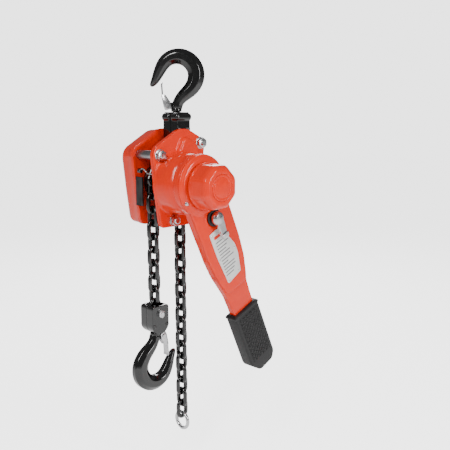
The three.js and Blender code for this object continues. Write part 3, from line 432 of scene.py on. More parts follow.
CLIP_WIRE = 1.8
guide_low, guide_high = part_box("chain_guide_left")
clip_x, clip_z = guide_low.x / MM, guide_high.z / MM
clip = bend_wire("guide_clip", [(clip_x - dx, dy, clip_z + dz) for dx, dy, dz in (
    (-1.6, 10, 8), (-1, 7.5, 8.6), (0, 5, 10.4), (0.8, 2.5, 11.6), (1, 0, 11.4), (0.6, -2.5, 9.8),
    (0, -5, 7.4), (-0.4, -7.5, 5.6), (-0.6, -17.5, 5))], CLIP_WIRE)
roller = lathe("clip_roller", [(0, 7), (2.6, 7), (3.2, 7.6), (3.2, 12.4), (2.6, 13), (0, 13)],
               clip_x + 1.6, clip_z + 8, 32)
fit(soften(roller, 0), "frame", "dark_steel", oiled_steel)
fit(clip, "frame", "zinc", zinc)

# ---- Brake ----------------------------------------------------------------------------------------
# Two bonded friction discs grip the ratchet between the hub and the drive gear, and two pawls hold
# the ratchet. All of it works inside the brake cover, dry.
brake_lining = finish("brake_lining", (0.14, 0.1, 0.07), (0.06, 0.045, 0.035), (0.8, 0.95), grain=2500,
                      relief=0.5)
dress(steel, "brake_hub", "ratchet_disc", "drive_shaft")
dress(brake_lining, "friction_disc_inner", "friction_disc_outer")
dress(oiled_steel, "brake_pawl_upper", "brake_pawl_lower", "drive_gear", "change_pawl")

# ---- Gear cover -----------------------------------------------------------------------------------
# Deep-drawn from 2.5 mm sheet over the gear train, enamelled red. Its mouth has a narrow lip that
# seats on the rear plate, and its crown is well rounded all round.
BODY_OUTLINE = [(-49, -213.5), (-55, -172), (-61, -118), (-57, -109), (-17, -86), (-2, -86), (23, -98.5),
                (28, -106), (26, -124), (19, -172), (8, -213.5)]
BODY_CORNER, SHEET = 4.4, 2.5
BODY_MIDDLE = Vector((-24, 0, -158))


def cut_outline(name, outline, y, corner, share=1.0, about=BODY_MIDDLE):
    """Fills an outline of (x, z) points at y, rounds its corners, and scales it about a middle."""
    spots = [about + (Vector((x, 0, z)) - about) * share for x, z in outline]
    piece = trace(name, [(spot.x, y, spot.z) for spot in spots])
    bpy.ops.mesh.select_all(action="SELECT")
    bpy.ops.mesh.edge_face_add()
    bpy.ops.mesh.select_all(action="SELECT")
    if corner:
        bpy.ops.mesh.bevel(affect="VERTICES", offset=corner * MM, segments=6)
        bpy.ops.mesh.select_all(action="SELECT")
    return piece


def draw(rows, about):
    """Draws the selected face on through rows of (y, share of its first size), in edit mode."""
    (y, share), *later = rows
    for next_y, next_share in later:
        bpy.ops.mesh.extrude_region_move(TRANSFORM_OT_translate={"value": (0, (next_y - y) * MM, 0)})
        grow = next_share / share
        bpy.ops.transform.resize(value=(grow, 1, grow), center_override=about * MM)
        y, share = next_y, next_share


seat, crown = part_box("gear_cover")[0].y / MM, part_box("gear_cover")[1].y / MM
shell = cut_outline("gear_cover_drawn", BODY_OUTLINE, seat, BODY_CORNER, 0.99)
draw([(seat, 0.99), (seat + 2.2, 0.99), (seat + 2.9, 0.978), (crown - 12, 0.97), (crown - 8.5, 0.955),
      (crown - 5.5, 0.925), (crown - 3, 0.88), (crown - 1, 0.82), (crown - 0.2, 0.77), (crown, 0.72),
      (crown, 0.66)], BODY_MIDDLE)
close_up()
pick(shell, "FACE", lambda face: face.normal.y < -0.99 and face.center.y < (seat + 0.01) * MM)
bpy.ops.mesh.delete(type="FACE")
bpy.ops.object.mode_set(mode="OBJECT")
apply_modifier(shell, "SOLIDIFY", thickness=SHEET * MM, offset=-1)
fit(soften(shell, 0), "frame", "red_enamel", red_enamel, "gear_cover")

# ---- Brake cover ----------------------------------------------------------------------------------
# Pressed from the same sheet and held by the stay nuts, each in its own hollow. A raised neck runs up
# to the peak and a low lobe stands at the right, and all of it blends into the deep round brake cup.
CUP_R, MOUTH_R = 41.0, 24.5
NECK = [(-32, -136), (20, -136), (10, -103), (-14, -94)]
NECK_MIDDLE = Vector((-5, 0, -120))
back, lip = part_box("brake_cover")[1].y / MM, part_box("brake_cover")[0].y / MM
face = back - SHEET


def melt(piece, voxel, passes):
    """Melts a piece's parts into one skin with soft corners, as pressing or casting leaves them."""
    apply_modifier(piece, "REMESH", mode="VOXEL", voxel_size=voxel * MM)
    apply_modifier(piece, "SMOOTH", factor=0.5, iterations=passes)
    work_on(piece)
    bpy.ops.object.shade_smooth()
    return piece


cover = cut_outline("brake_cover_pressed", BODY_OUTLINE, back, BODY_CORNER)
draw([(back, 1), (face, 1)], BODY_MIDDLE)
close_up()
cup = lathe("cup", [(0, back - 1), (CUP_R + 2, face + 0.6), (CUP_R + 1, face - 1), (CUP_R, face - 3),
                    (CUP_R * 0.985, face - 20), (CUP_R * 0.965, face - 24.5), (CUP_R * 0.93, face - 28),
                    (CUP_R * 0.88, face - 31), (CUP_R * 0.82, lip), (0, lip)], SHAFT.x, SHAFT.z, 96)
neck = cut_outline("neck", NECK, back - 1, 8, about=NECK_MIDDLE)
draw([(back - 1, 1), (face - 5, 0.95), (face - 6.4, 0.9), (face - 7, 0.82)], NECK_MIDDLE)
close_up()
lobe = lathe("lobe", [(0, back - 1), (17, back - 1), (16, face - 9), (15, face - 10.4), (13, face - 11),
                      (0, face - 11)], SHAFT.x + 27, SHAFT.z - 30)
for part in (cup, neck, lobe):
    combine(cover, part, "UNION")
hollow = lathe("hollow", [(0, back + 2), (CUP_R - SHEET, back + 2), (CUP_R * 0.985 - SHEET, face - 19),
                          (CUP_R * 0.93 - SHEET, face - 26), (CUP_R * 0.84 - SHEET, lip + SHEET),
                          (0, lip + SHEET)], SHAFT.x, SHAFT.z, 96)
mouth = lathe("mouth", [(0, lip - 2), (MOUTH_R, lip - 2), (MOUTH_R, lip + 9), (0, lip + 9)],
              SHAFT.x, SHAFT.z, 96)
for tool in (hollow, mouth):
    combine(cover, tool)
for side in ("left", "right", "bottom"):
    x, z, low, high = middle_of(f"stay_nut_{side}")
    combine(cover, lathe("nut_hollow", [(0, face - 14), (WASHER_R + 0.7, face - 14), (WASHER_R + 0.7, face),
                                        (0, face)], x, z, 48))
    combine(cover, lathe("stud_hole", [(0, face - 2), (STUD_R + 0.4, face - 2), (STUD_R + 0.4, back + 2),
                                       (0, back + 2)], x, z, 32))
melt(cover, 0.75, 6)
fit(cover, "frame", "red_enamel", red_enamel, "brake_cover")

# ---- Lever ----------------------------------------------------------------------------------------
# Two pressed steel shells, red enamelled: a deep body round the drive gear that runs on as the arm,
# and a cover screwed over it, domed over the gear. Modelled upright on the shaft and then leaned.
LEVER_LEAN = math.radians(-24)
HEAD_R, DOME_R, SCREW_R = 40.0, 37.0, 2.7
SELECTOR_DROP = 47.0
ORIGIN = Vector((0, 0, 0))
ARM = [(33, -5), (32, -96), (29.5, -124), (21, -162), (19.5, -197)]
arm_back, arm_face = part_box("lever_body")[1].y / MM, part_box("lever_body")[0].y / MM
cover_face = -72.5


def both_sides(rows):
    """An outline with rows of (half width, z) down its left side and back up its right."""
    return [(-half, z) for half, z in rows] + [(half, z) for half, z in reversed(rows)]


def lean(piece):
    """Leans a piece of the lever with the rest of it, about the shaft."""
    return settle(piece, (SHAFT.x, 0, SHAFT.z), (0, LEVER_LEAN, 0))


def block_out(outline, low, high, corner, about=ORIGIN, name="block"):
    """A flat blank of an outline between two heights."""
    blank = cut_outline(name, outline, low, corner, about=about)
    draw([(low, 1), (high, 1)], about)
    close_up()
    return blank


lever = block_out(both_sides([*ARM, (16.5, -199), (16.5, -291)]), arm_face, arm_back, 5,
                  name="lever_body_pressed")
soften(lever, 2.2, 4, 50)
head = lathe("head", [(0, arm_face), (HEAD_R, arm_face), (HEAD_R, arm_back - 3),
                      (HEAD_R - 0.9, arm_back - 0.9), (HEAD_R - 3, arm_back), (0, arm_back)], 0, 0, 96)
combine(lever, head, "UNION")
FAN = [(-9, -56), (9, -56), (12, -43), (24, -32), (18, -25), (0, -18.4), (-18, -25), (-24, -32), (-12, -43)]
combine(lever, block_out(FAN, arm_face - 1, arm_back - 2.5, 0))
for radius, low, high in ((27.5, arm_face - 1, arm_back - 2.5), (13.5, arm_face - 1, arm_back + 1)):
    combine(lever, lathe("bore", [(0, low), (radius, low), (radius, high), (0, high)], 0, 0))
melt(lever, 0.85, 4)
fit(lean(lever), "lever", "red_enamel", red_enamel, "lever_body")

seam = arm_face - 0.3
cover = block_out(both_sides([(32.6, -5), (31.6, -96), (29, -124), (21.8, -152), (19, -158)]), seam,
                  cover_face, 5, name="lever_cover_pressed")
dome = lathe("dome", [(0, seam), (HEAD_R - 0.4, seam), (HEAD_R - 0.4, seam - 1.6),
                      (HEAD_R - 1.4, seam - 2.6),
                      (DOME_R + 0.2, cover_face - 0.6), (DOME_R - 0.4, cover_face - 1.9),
                      (DOME_R - 2, cover_face - 3), (DOME_R - 5, cover_face - 3.6), (0, cover_face - 3.6)],
             0, 0, 96)
combine(cover, dome, "UNION")
WELL_R, WIPER_R, STEM_R = 12.2, 11.6, 3.9
combine(cover, lathe("well", [(0, cover_face - 6), (WELL_R, cover_face - 6), (WELL_R, cover_face + 1),
                              (0, cover_face + 1)], 0, -SELECTOR_DROP))
for radius, z in ((STEM_R, -SELECTOR_DROP), (13.5, 0)):
    combine(cover, lathe("bore", [(0, seam - 8), (radius, seam - 8), (radius, seam + 2), (0, seam + 2)],
                         0, z))
melt(cover, 0.75, 4)
fit(lean(cover), "lever", "red_enamel", red_enamel, "lever_cover")


def socket_screw(name, x, face, z, radius):
    """A low domed screw head with a hexagon socket, standing on a face that looks towards -Y."""
    head = lathe(name, [(0, face + 1), (radius, face + 1), (radius, face - 0.7), (radius * 0.86, face - 1.5),
                        (radius * 0.5, face - 1.9), (0, face - 1.9)], x, z, 40)
    work_on(None)
    bpy.ops.mesh.primitive_cylinder_add(vertices=6, radius=radius * 0.42 * MM, depth=3 * MM,
                                        location=Vector((x, face - 2.2, z)) * MM,
                                        rotation=(math.pi / 2, 0, 0))
    socket = bpy.context.object
    bpy.ops.object.transform_apply(location=True, rotation=True, scale=True)
    return soften(combine(head, socket), 0.12, 2)


for k, (x, z) in enumerate([(-35, -6), (35, -6)]):
    fit(lean(socket_screw(f"lever_screw_{k}", x, cover_face - 2.4, z, SCREW_R)), "lever", "zinc", zinc)

# ---- Grip -----------------------------------------------------------------------------------------
# A rubber sleeve moulded over the end of the arm, slanted off at its tip. Both broad faces carry a
# diamond tread inside a plain border.
GRIP_HALF, GRIP_TOP, GRIP_TIP = 24.5, -195.0, -300.0
grip_low, grip_high = -75.0, -55.0
DIAMOND = 7.6
TREAD_WIDE, TREAD_LONG, TREAD_RISE = 5 * DIAMOND, 10 * DIAMOND, 1.0
TREAD_MIDDLE = Vector((0, 0, -241))
rubber = finish("grip_rubber", (0.009, 0.008, 0.009), (0.005, 0.005, 0.005), (0.42, 0.6), grain=1500,
                relief=0.2)
sleeve = block_out([(-GRIP_HALF, GRIP_TOP), (-GRIP_HALF, -282), (-GRIP_HALF + 14, GRIP_TIP),
                    (GRIP_HALF - 8, GRIP_TIP), (GRIP_HALF, -290), (GRIP_HALF, GRIP_TOP)],
                   grip_low, grip_high, 4, name="grip_sleeve")
soften(sleeve, 3, 5, 50)
# A shallow rib bands the sleeve's mouth.
mouth_rib = block_out([(-GRIP_HALF - 0.5, GRIP_TOP - 1), (-GRIP_HALF - 0.5, GRIP_TOP - 5),
                       (GRIP_HALF + 0.5, GRIP_TOP - 5), (GRIP_HALF + 0.5, GRIP_TOP - 1)],
                      grip_low - 0.5, grip_high + 0.5, 0)
sleeve = join(sleeve, soften(mouth_rib, 1.4, 4, 50))
sleeve.name = "grip_sleeve"
cell = DIAMOND / math.sqrt(2)
cells = 2 * math.ceil(TREAD_LONG / cell / math.sqrt(2)) + 2
for side, (out, level) in {"front": (-1, grip_low), "rear": (1, grip_high)}.items():
    work_on(None)
    bpy.ops.mesh.primitive_grid_add(
        x_subdivisions=cells, y_subdivisions=cells, size=cells * cell * MM,
        location=Vector((0, level, TREAD_MIDDLE.z)) * MM, rotation=(math.pi / 2, math.pi / 4, 0))
    tread = bpy.context.object
    bpy.ops.object.transform_apply(location=True, rotation=True, scale=True)
    bpy.ops.object.mode_set(mode="EDIT")
    for edge_x, edge_z, wall in ((1, 0, TREAD_WIDE / 2), (-1, 0, TREAD_WIDE / 2), (0, 1, TREAD_LONG / 2),
                                 (0, -1, TREAD_LONG / 2)):
        bpy.ops.mesh.select_all(action="SELECT")
        bpy.ops.mesh.bisect(plane_co=(TREAD_MIDDLE + Vector((edge_x, 0, edge_z)) * wall) * MM,
                            plane_no=(edge_x, 0, edge_z), clear_outer=True)
    bpy.ops.mesh.select_all(action="SELECT")
    bpy.ops.mesh.remove_doubles(threshold=MM / 100)
    bpy.ops.mesh.select_all(action="SELECT")
    bpy.ops.mesh.extrude_region_move(TRANSFORM_OT_translate={"value": (0, out * 0.15 * MM, 0)})
    bpy.ops.mesh.select_all(action="SELECT")
    bpy.ops.mesh.normals_make_consistent(inside=False)
    pick(tread, "FACE", lambda face: face.normal.y * out > 0.9)
    bpy.ops.mesh.inset(thickness=0.6 * MM, depth=0, use_individual=True)
    bpy.ops.mesh.inset(thickness=0.55 * MM, depth=TREAD_RISE * MM, use_individual=True)
    sleeve = join(sleeve, work_on(tread))
work_on(sleeve)
bpy.ops.object.shade_smooth_by_angle(angle=math.radians(30))
fit(lean(sleeve), "lever", "grip_rubber", rubber, "lever_grip")

# ---- Rating plate ---------------------------------------------------------------------------------
# A thin aluminium plate enamelled white, riveted to the arm. Plain grey bars stand for its print, and
# a red band for its heading.
TAG_OUTLINE = [(-17.5, -64), (-2, -63), (8, -71), (18.6, -98), (19.2, -112), (13.5, -139), (-13.5, -143),
               (-17.5, -98)]
TAG_MIDDLE = Vector((0, 0, -104))
TAG_THICK = 0.9
tag_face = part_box("rating_plate")[0].y / MM
white_plate = finish("white_plate", (0.82, 0.82, 0.8), (0.74, 0.74, 0.72), (0.3, 0.42), coat=0.2, grain=800,
                     relief=0.03)
grey_print = finish("grey_print", (0.13, 0.13, 0.14), (0.08, 0.08, 0.09), (0.5, 0.6), grain=900, relief=0.03)
tag = block_out(TAG_OUTLINE, tag_face, tag_face + TAG_THICK, 2, TAG_MIDDLE, "rating_plate_enamelled")
fit(lean(soften(tag, 0.15, 2)), "lever", "label_white", white_plate, "rating_plate")


def print_bar(name, x, z, wide, tall):
    """A printed bar about x and z, twice as wide and as tall as the half sizes given."""
    bar = block_out([(x - wide, z - tall), (x - wide, z + tall), (x + wide, z + tall), (x + wide, z - tall)],
                    tag_face - 0.08, tag_face + 0.2, min(tall, wide) * 0.3, Vector((x, 0, z)), name)
    return work_on(bar)


PRINT_STEP, PRINT_LINES = 4.6, 12
SHORT_LINE = 0.62
bars = []
for k in range(PRINT_LINES):
    half_line = (10.5 + 1.6 * math.sin(k * 2.4)) * (SHORT_LINE if k % 4 == 3 else 1)
    bars.append(print_bar(f"bar_{k}", half_line - 12.4, -80 - k * PRINT_STEP, half_line, 0.62))
printed = join(*bars)
printed.name = "rating_plate_print"
fit(lean(printed), "lever", "label_white", grey_print)
fit(lean(print_bar("rating_plate_heading", -6.5, -72.4, 5.6, 2.2)), "lever", "red_enamel", red_enamel)
for k, (x, z) in enumerate([(-14.4, -67.6), (15.4, -103), (10.4, -135.6), (-10.8, -139.4),
                            (-14.6, -104)]):
    rivet = lathe(f"plate_rivet_{k}", [(0, tag_face + 0.3), (1.3, tag_face + 0.3), (1.2, tag_face - 0.3),
                                       (0.7, tag_face - 0.6), (0, tag_face - 0.65)], x, z, 20)
    fit(lean(soften(rivet, 0)), "lever", "zinc", zinc)

# ---- Selector -------------------------------------------------------------------------------------
# A cast thumb lever, chromed, on the change pawl's stem. Its round boss carries a stepped paddle that
# points down the arm in neutral, over a black rubber wiper set in the cover.
knob_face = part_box("selector_lever")[0].y / MM
wiper = lathe("selector_wiper", [(STEM_R + 0.2, cover_face + 1), (WIPER_R, cover_face + 1),
                                 (WIPER_R, cover_face - 1), (WIPER_R - 1.4, cover_face - 2.2),
                                 (STEM_R + 0.2, cover_face - 2.2),
                                 (STEM_R + 0.2, cover_face + 1)], 0, -SELECTOR_DROP, 48)
fit(lean(soften(wiper, 0.3, 2)), "lever", "grip_rubber", rubber)
knob = lathe("selector_cast", [(0, -69.5), (3.4, -69.5), (3.4, cover_face - 2.6), (8.6, cover_face - 3.8),
                               (9, cover_face - 5), (9, knob_face + 4.4), (8.2, knob_face + 2.6),
                               (6.2, knob_face + 1), (0, knob_face)], 0, -SELECTOR_DROP, 56)
# The paddle starts as a block under the boss, and is drawn down, stepped out and thinned to its end.
work_on(None)
bpy.ops.mesh.primitive_cube_add(size=MM, location=Vector((0, knob_face + 3.9, -SELECTOR_DROP - 5)) * MM,
                                scale=(12, 5, 8))
paddle = bpy.context.object
bpy.ops.object.transform_apply(location=True, rotation=True, scale=True)
foot = (-SELECTOR_DROP - 9) * MM
pick(paddle, "FACE", lambda face: face.normal.z < -0.9)
for fall, wide, deep, out in ((7, 0.86, 0.9, 0), (5, 0.95, 1.0, 0), (0.6, 1.12, 1.45, -0.9),
                              (5, 0.94, 0.82, -0.6), (3, 0.8, 0.6, 0)):
    bpy.ops.mesh.extrude_region_move(TRANSFORM_OT_translate={"value": (0, out * MM, -fall * MM)})
    foot -= fall * MM
    bpy.ops.transform.resize(value=(wide, deep, 1), center_override=(0, (knob_face + 3.9) * MM, foot))
bpy.ops.object.mode_set(mode="OBJECT")
combine(knob, soften(paddle, 0.9, 3, 25), "UNION")
melt(knob, 0.3, 3)
fit(lean(knob), "selector", "zinc", zinc, "selector_lever")

# ---- Handwheel ------------------------------------------------------------------------------------
# A cast knob, red enamelled: a round flange, a barrel with eight flats and rounded corners between
# them, and a flat face with a shallow round recess, closed by a plain pressed cap.
WHEEL_R, FLANGE_R, RECESS_R, WHEEL_BORE = 31.0, 30.5, 17.0, 5.3
FLATS = 8
wheel_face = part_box("handwheel_cap")[0].y / MM + 0.5
flange_back = -77.5
WHEEL_MIDDLE = Vector((SHAFT.x, 0, SHAFT.z))
octagon = [(SHAFT.x + WHEEL_R * math.cos((k + 0.5) * 2 * math.pi / FLATS),
            SHAFT.z + WHEEL_R * math.sin((k + 0.5) * 2 * math.pi / FLATS)) for k in range(FLATS)]
wheel = cut_outline("handwheel_cast", octagon, flange_back - 2, 3.6, about=WHEEL_MIDDLE)
draw([(flange_back - 2, 0.98), (wheel_face + 9, 0.95), (wheel_face + 6, 0.925), (wheel_face + 3.4, 0.88),
      (wheel_face + 1.4, 0.82), (wheel_face + 0.3, 0.76), (wheel_face, 0.71)], WHEEL_MIDDLE)
close_up()
flange = lathe("flange", [(0, flange_back), (FLANGE_R - 0.9, flange_back), (FLANGE_R, flange_back - 0.9),
                          (FLANGE_R, flange_back - 3), (FLANGE_R - 0.9, flange_back - 4),
                          (0, flange_back - 4)],
               SHAFT.x, SHAFT.z, 96)
combine(wheel, flange, "UNION")
for radius, low, high in ((RECESS_R, wheel_face - 2, wheel_face + 1.8),
                          (WHEEL_BORE, wheel_face - 3, flange_back + 2)):
    combine(wheel, lathe("bore", [(0, low), (radius, low), (radius, high), (0, high)], SHAFT.x, SHAFT.z, 96))
melt(wheel, 0.55, 3)
fit(wheel, "drive", "red_enamel", red_enamel, "handwheel")
cap_face = wheel_face - 0.4
cap = lathe("handwheel_cap_pressed", [(0, cap_face + 1.6), (RECESS_R - 0.3, cap_face + 1.6),
            (RECESS_R - 0.3, cap_face + 0.4), (RECESS_R - 0.9, cap_face), (14, cap_face),
            (13.6, cap_face + 0.6),
            (13, cap_face + 0.6), (12.6, cap_face), (0, cap_face)], SHAFT.x, SHAFT.z, 96)
fit(soften(cap, 0.15, 2), "drive", "red_enamel", red_enamel, "handwheel_cap")

# ---- Yoke -----------------------------------------------------------------------------------------
# Two black drop forgings clamped round the top hook's shank by two rivets and hung on the suspension
# pin. Each half is thicker round its top, where it takes the hook's collar.
for side, out in (("front", -1), ("rear", 1)):
    half = copy_of(f"top_yoke_{side}", f"yoke_{side}_forged")
    low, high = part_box(f"top_yoke_{side}")
    work_on(None)
    bpy.ops.mesh.primitive_cube_add(size=MM, scale=(27.6, 15.4, 10),
                                    location=(0, out * 9.2 * MM, high.z - 6.4 * MM))
    shoulder = bpy.context.object
    bpy.ops.object.transform_apply(location=True, rotation=True, scale=True)
    melt(join(half, soften(shoulder, 4.4, 5)), 0.5, 4)
    fit(half, "yoke", "black_enamel", black_enamel, f"top_yoke_{side}")


def headed_rivet(node, shank_r, head_r):
    """A round-headed rivet along Y, as long as its node."""
    x, z, low, high = middle_of(node)
    end = [(0, 0), (head_r * 0.6, 0.15), (head_r * 0.92, 0.7), (head_r, 1.3), (shank_r, 1.3)]
    return soften(lathe(f"{node}_headed",
                        [(r, low + d) for r, d in end] + [(r, high - d) for r, d in end[::-1]], x, z, 32), 0)


for side in ("left", "right"):
    fit(headed_rivet(f"yoke_rivet_{side}", 2, 3.2), "yoke", "dark_steel", oiled_steel, f"yoke_rivet_{side}")
x, z, low, high = middle_of("suspension_pin")
pin_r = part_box("suspension_pin")[1].x / MM - x
pin = lathe("suspension_pin_ground", [(0, low), (pin_r, low), (pin_r, high), (0, high)], x, z, 48)
fit(soften(pin, 0.6), "yoke", "steel", steel, "suspension_pin")

# ---- Hooks ----------------------------------------------------------------------------------------
# The same drop forging is used above and below: thickest over the saddle, flat on its flanks with
# bevelled edges, and drawn to a flattened point. Its shank turns in the yoke or the block.
# Each row is a section of the bar: x and z of its middle, and its width, from the neck to the point.
FORGING = [(0, -63, 14), (1, -54, 12.4), (7, -44.5, 14), (19, -36, 17.5), (27.5, -23, 20.6), (27, -7, 21.6),
           (15.5, 6.2, 20.6), (0.3, 9.4, 18.8), (-13.8, 3.6, 16.4), (-22, -10.5, 13.4), (-27.5, -23.5, 9.4),
           (-34, -31.5, 5)]
# Smoothing draws the bar in, so each section starts FULLER times its size.
FORGING_THICK, SIDES, FULLER, EDGE_HOLD = 16.0, 8, 1.12, 0.7
LATCH_PIN = Vector((-11.5, 0, -56.2))
MOUTH_TIP = Vector((-19.8, 0, -27))


def forged_hook(name):
    """A hook in its own frame: saddle at the origin, mouth towards -X and shank below."""
    work_on(None)
    bpy.ops.mesh.primitive_circle_add(vertices=SIDES, radius=MM)
    hook = bpy.context.object
    hook.name = name
    bpy.ops.object.mode_set(mode="EDIT")
    bpy.ops.mesh.select_mode(type="VERT")
    bpy.ops.mesh.select_all(action="SELECT")
    bpy.ops.mesh.delete(type="VERT")
    for k, (x, z, width) in enumerate(FORGING):
        before, after = FORGING[max(k - 1, 0)], FORGING[min(k + 1, len(FORGING) - 1)]
        middle = Vector((x, 0, z)) * MM
        bpy.ops.mesh.primitive_circle_add(vertices=SIDES, radius=MM / math.cos(math.pi / SIDES),
                                          location=middle)
        bpy.ops.transform.rotate(value=math.pi / SIDES, orient_axis="Z", center_override=middle)
        bpy.ops.transform.resize(value=(width / 2 * FULLER, min(FORGING_THICK, width) / 2 * FULLER, 1),
                                 center_override=middle)
        heading = math.atan2(after[0] - before[0], after[1] - before[1])
        bpy.ops.transform.rotate(value=-heading, orient_axis="Y", center_override=middle)
        if k:
            count = SIDES * (k + 1)
            pick(hook, "VERT", lambda point: count - 2 * SIDES <= point.index < count)
            bpy.ops.mesh.bridge_edge_loops()
    for first in (0, SIDES * (len(FORGING) - 1)):
        pick(hook, "VERT", lambda point: first <= point.index < first + SIDES)
        bpy.ops.mesh.edge_face_add()
    # Edges that run along the bar stay half sharp, so that the flanks keep their bevels.
    bpy.ops.object.mode_set(mode="OBJECT")
    pick(hook, "EDGE", lambda edge: abs(edge.vertices[0] - edge.vertices[1]) >= SIDES - 1
         and edge.vertices[0] // SIDES != edge.vertices[1] // SIDES)
    bpy.ops.transform.edge_crease(value=EDGE_HOLD)
    close_up()
    apply_modifier(hook, "SUBSURF", levels=3, render_levels=3)
    work_on(hook)
    bpy.ops.object.shade_smooth()
    shank = lathe("shank", [(0, -82), (7.8, -82), (7.8, -74), (4.8, -74), (4.8, -64), (6.8, -63.8),
                            (7.1, -61.4),
                            (6.3, -57), (0, -57)], 0, 0, 40)
    settle(shank, turn=(math.pi / 2, 0, 0))
    lug = block_out([(-15.6, -60), (-7, -61), (-1, -60), (-1, -52), (-8, -51.6), (-14.6, -51.8)], -3, 3, 3)
    # Low pads on both flanks are the forge's marks.
    pads = []
    for x, z in ((26.5, -9), (24.5, -19), (19.5, -28)):
        half = FORGING_THICK / 2 + 0.55
        pad = lathe("pad", [(0, -half), (1.9, -half), (2.6, -half + 0.7), (2.6, half - 0.7),
                            (1.9, half), (0, half)],
                    x, z, 24)
        pads.append(soften(pad, 0))
    return join(hook, soften(shank, 0.4, 2), soften(lug, 0.7, 3, 50), *pads)


def folded_latch(name):
    """The latch: sheet folded to a tongue with two cheeks, which the pin passes through."""
    along = (MOUTH_TIP - LATCH_PIN).normalized()
    across = Vector((along.z, 0, -along.x))

    def spot(down, side):
        place = LATCH_PIN + along * down + across * side
        return place.x, place.z
    reach = (MOUTH_TIP - LATCH_PIN).length
    tongue = block_out([spot(-1, -5.2), spot(10, -4.4), spot(reach - 2, -0.6), spot(reach + 1, 1),
                        spot(reach + 1, 2.1), spot(reach - 2, 0.6), spot(10, -3.2), spot(-1, -4)],
                       -5.1, 5.1, 0.3,
                       name=name)
    pieces = [soften(tongue, 0.25, 2, 50)]
    for low in (-5.1, 4):
        cheek = block_out([spot(-5, -5), spot(-5, 4.8), spot(3.5, 4.8), spot(16, 0.6), spot(16, -4)],
                          low, low + 1.1, 1.9)
        pieces.append(soften(cheek, 0.25, 2, 50))
    return join(*pieces)


shank_seat = -64.4
SPRING_R, SPRING_WIRE = 3.3, 0.9
block_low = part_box("hook_block_front")[0].z / MM
HANGING = {
    "top": ((0, 0, 0), (0, 0, math.radians(-45))),
    "bottom": ((HOOK_X, 0, block_low + shank_seat), (0, math.pi, 0)),
}
for end, (place, turn) in HANGING.items():
    hook = settle(forged_hook(f"{end}_hook_forged"), place, turn)
    fit(hook, f"{end}_hook", "black_enamel", black_enamel, f"{end}_hook")
    latch = settle(folded_latch(f"{end}_latch_folded"), place, turn)
    fit(latch, f"{end}_latch", "zinc", zinc, f"{end}_latch")
    rim = [(0, -7), (2.6, -7), (3.1, -6.5), (3.1, -5.4), (2, -5.3)]
    pin = lathe(f"{end}_latch_pin_riveted", rim + [(r, -y) for r, y in rim[::-1]],
                LATCH_PIN.x, LATCH_PIN.z, 32)
    fit(settle(soften(pin, 0), place, turn), f"{end}_hook", "steel", zinc, f"{end}_latch_pin")
    turns = [(LATCH_PIN.x + SPRING_R * math.cos(k * math.pi / 6), -3.4 + k * 0.19,
              LATCH_PIN.z + SPRING_R * math.sin(k * math.pi / 6)) for k in range(37)]
    spring = bend_wire(f"{end}_latch_spring", [(-14.2, -3.6, -46), *turns], SPRING_WIRE)
    fit(settle(spring, place, turn), f"{end}_latch", "zinc", zinc)

# ---- Bottom block ---------------------------------------------------------------------------------
# Two black forgings clamped round the bottom hook's shank and the last load link by two rivets and
# the load pin, a bolt with a plated nut on each face.
for side in ("front", "rear"):
    half = melt(copy_of(f"hook_block_{side}", f"block_{side}_forged"), 0.45, 5)
    fit(half, "hook_block", "black_enamel", black_enamel, f"hook_block_{side}")
for side in ("left", "right"):
    fit(headed_rivet(f"block_rivet_{side}", 1.5, 2.4), "hook_block", "dark_steel", oiled_steel,
        f"block_rivet_{side}")
x, z, low, high = middle_of("load_pin")
shank = lathe("load_pin_bolt", [(0, low), (2.6, low), (3.2, low + 0.6), (3.2, high - 0.6), (2.6, high),
              (0, high)], x, z, 32)
front_nut = hexagon_nut("front_nut", x, z, low + 0.7, low + 4.3, 5.5)
rear_nut = hexagon_nut("rear_nut", x, z, high - 4.3, high - 0.7, 5.5)
fit(join(soften(shank, 0), front_nut, rear_nut), "hook_block", "zinc", zinc, "load_pin")

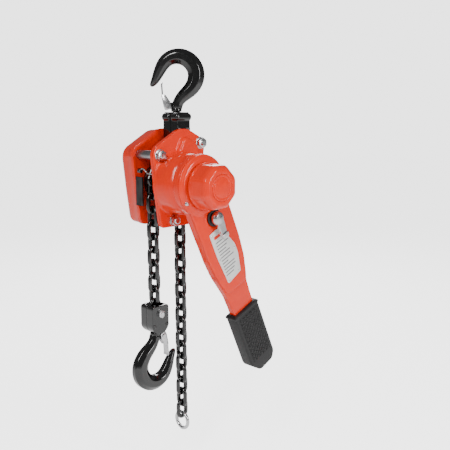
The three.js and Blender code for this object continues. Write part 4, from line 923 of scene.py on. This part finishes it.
# ---- End ring -------------------------------------------------------------------------------------
# A bright ring of 5 mm wire on the last slack link stops the chain from running out. Its ends are
# butt welded at the bottom, where the weld stands proud.
RING_R, RING_WIRE, RING_WELD = 12.0, 5.0, 1.12
x, z, low, high = middle_of("chain_end_ring")
work_on(None)
bpy.ops.mesh.primitive_torus_add(major_segments=72, minor_segments=16, major_radius=RING_R * MM,
                                 minor_radius=RING_WIRE / 2 * MM, location=Vector((x, 0, z)) * MM,
                                 rotation=(0, math.pi / 2, 0))
ring = bpy.context.object
ring.name = "end_ring_welded"
bpy.ops.object.transform_apply(location=True, rotation=True, scale=True)
pick(ring, "VERT", lambda point: point.co.z < (z - 9) * MM and abs(point.co.y) < 1.3 * MM)
bpy.ops.transform.resize(value=(RING_WELD, 1, RING_WELD), center_override=(x * MM, 0, (z - RING_R) * MM))
work_on(ring)
bpy.ops.object.shade_smooth()
fit(ring, "slack_lower", "zinc", zinc, "chain_end_ring")

# ---- Floor ----------------------------------------------------------------------------------------
# A pale plain studio floor, below the lowest link. It looks as white as the walls, and throws less
# light than that at the hoist, so that the black and red parts keep their depth.
FLOOR_GLOW, FLOOR_LOOK = 0.4, 2.8
FLOOR_SIZE, FLOOR_DROP = 12, 0.06
work_on(None)
bpy.ops.mesh.primitive_plane_add(size=FLOOR_SIZE, location=(0, 0, cad_box[0][2] - FLOOR_DROP))
floor = bpy.context.object
floor.name = "floor"
pale = finish("pale_floor", (0.93, 0.93, 0.93), (0.92, 0.92, 0.92), (0.85, 0.95), grain=60, relief=0.0)
pale_nodes, pale_links = pale.node_tree.nodes, pale.node_tree.links
pale_nodes["Principled BSDF"].inputs["Emission Color"].default_value = (1, 1, 1, 1)
floor_seen = pale_nodes.new("ShaderNodeLightPath")
floor_glow = pale_nodes.new("ShaderNodeMapRange")
floor_glow.inputs["To Min"].default_value, floor_glow.inputs["To Max"].default_value = FLOOR_GLOW, FLOOR_LOOK
pale_links.new(floor_seen.outputs["Is Camera Ray"], floor_glow.inputs["Value"])
pale_links.new(floor_glow.outputs["Result"], pale_nodes["Principled BSDF"].inputs["Emission Strength"])
floor.data.materials.append(pale)
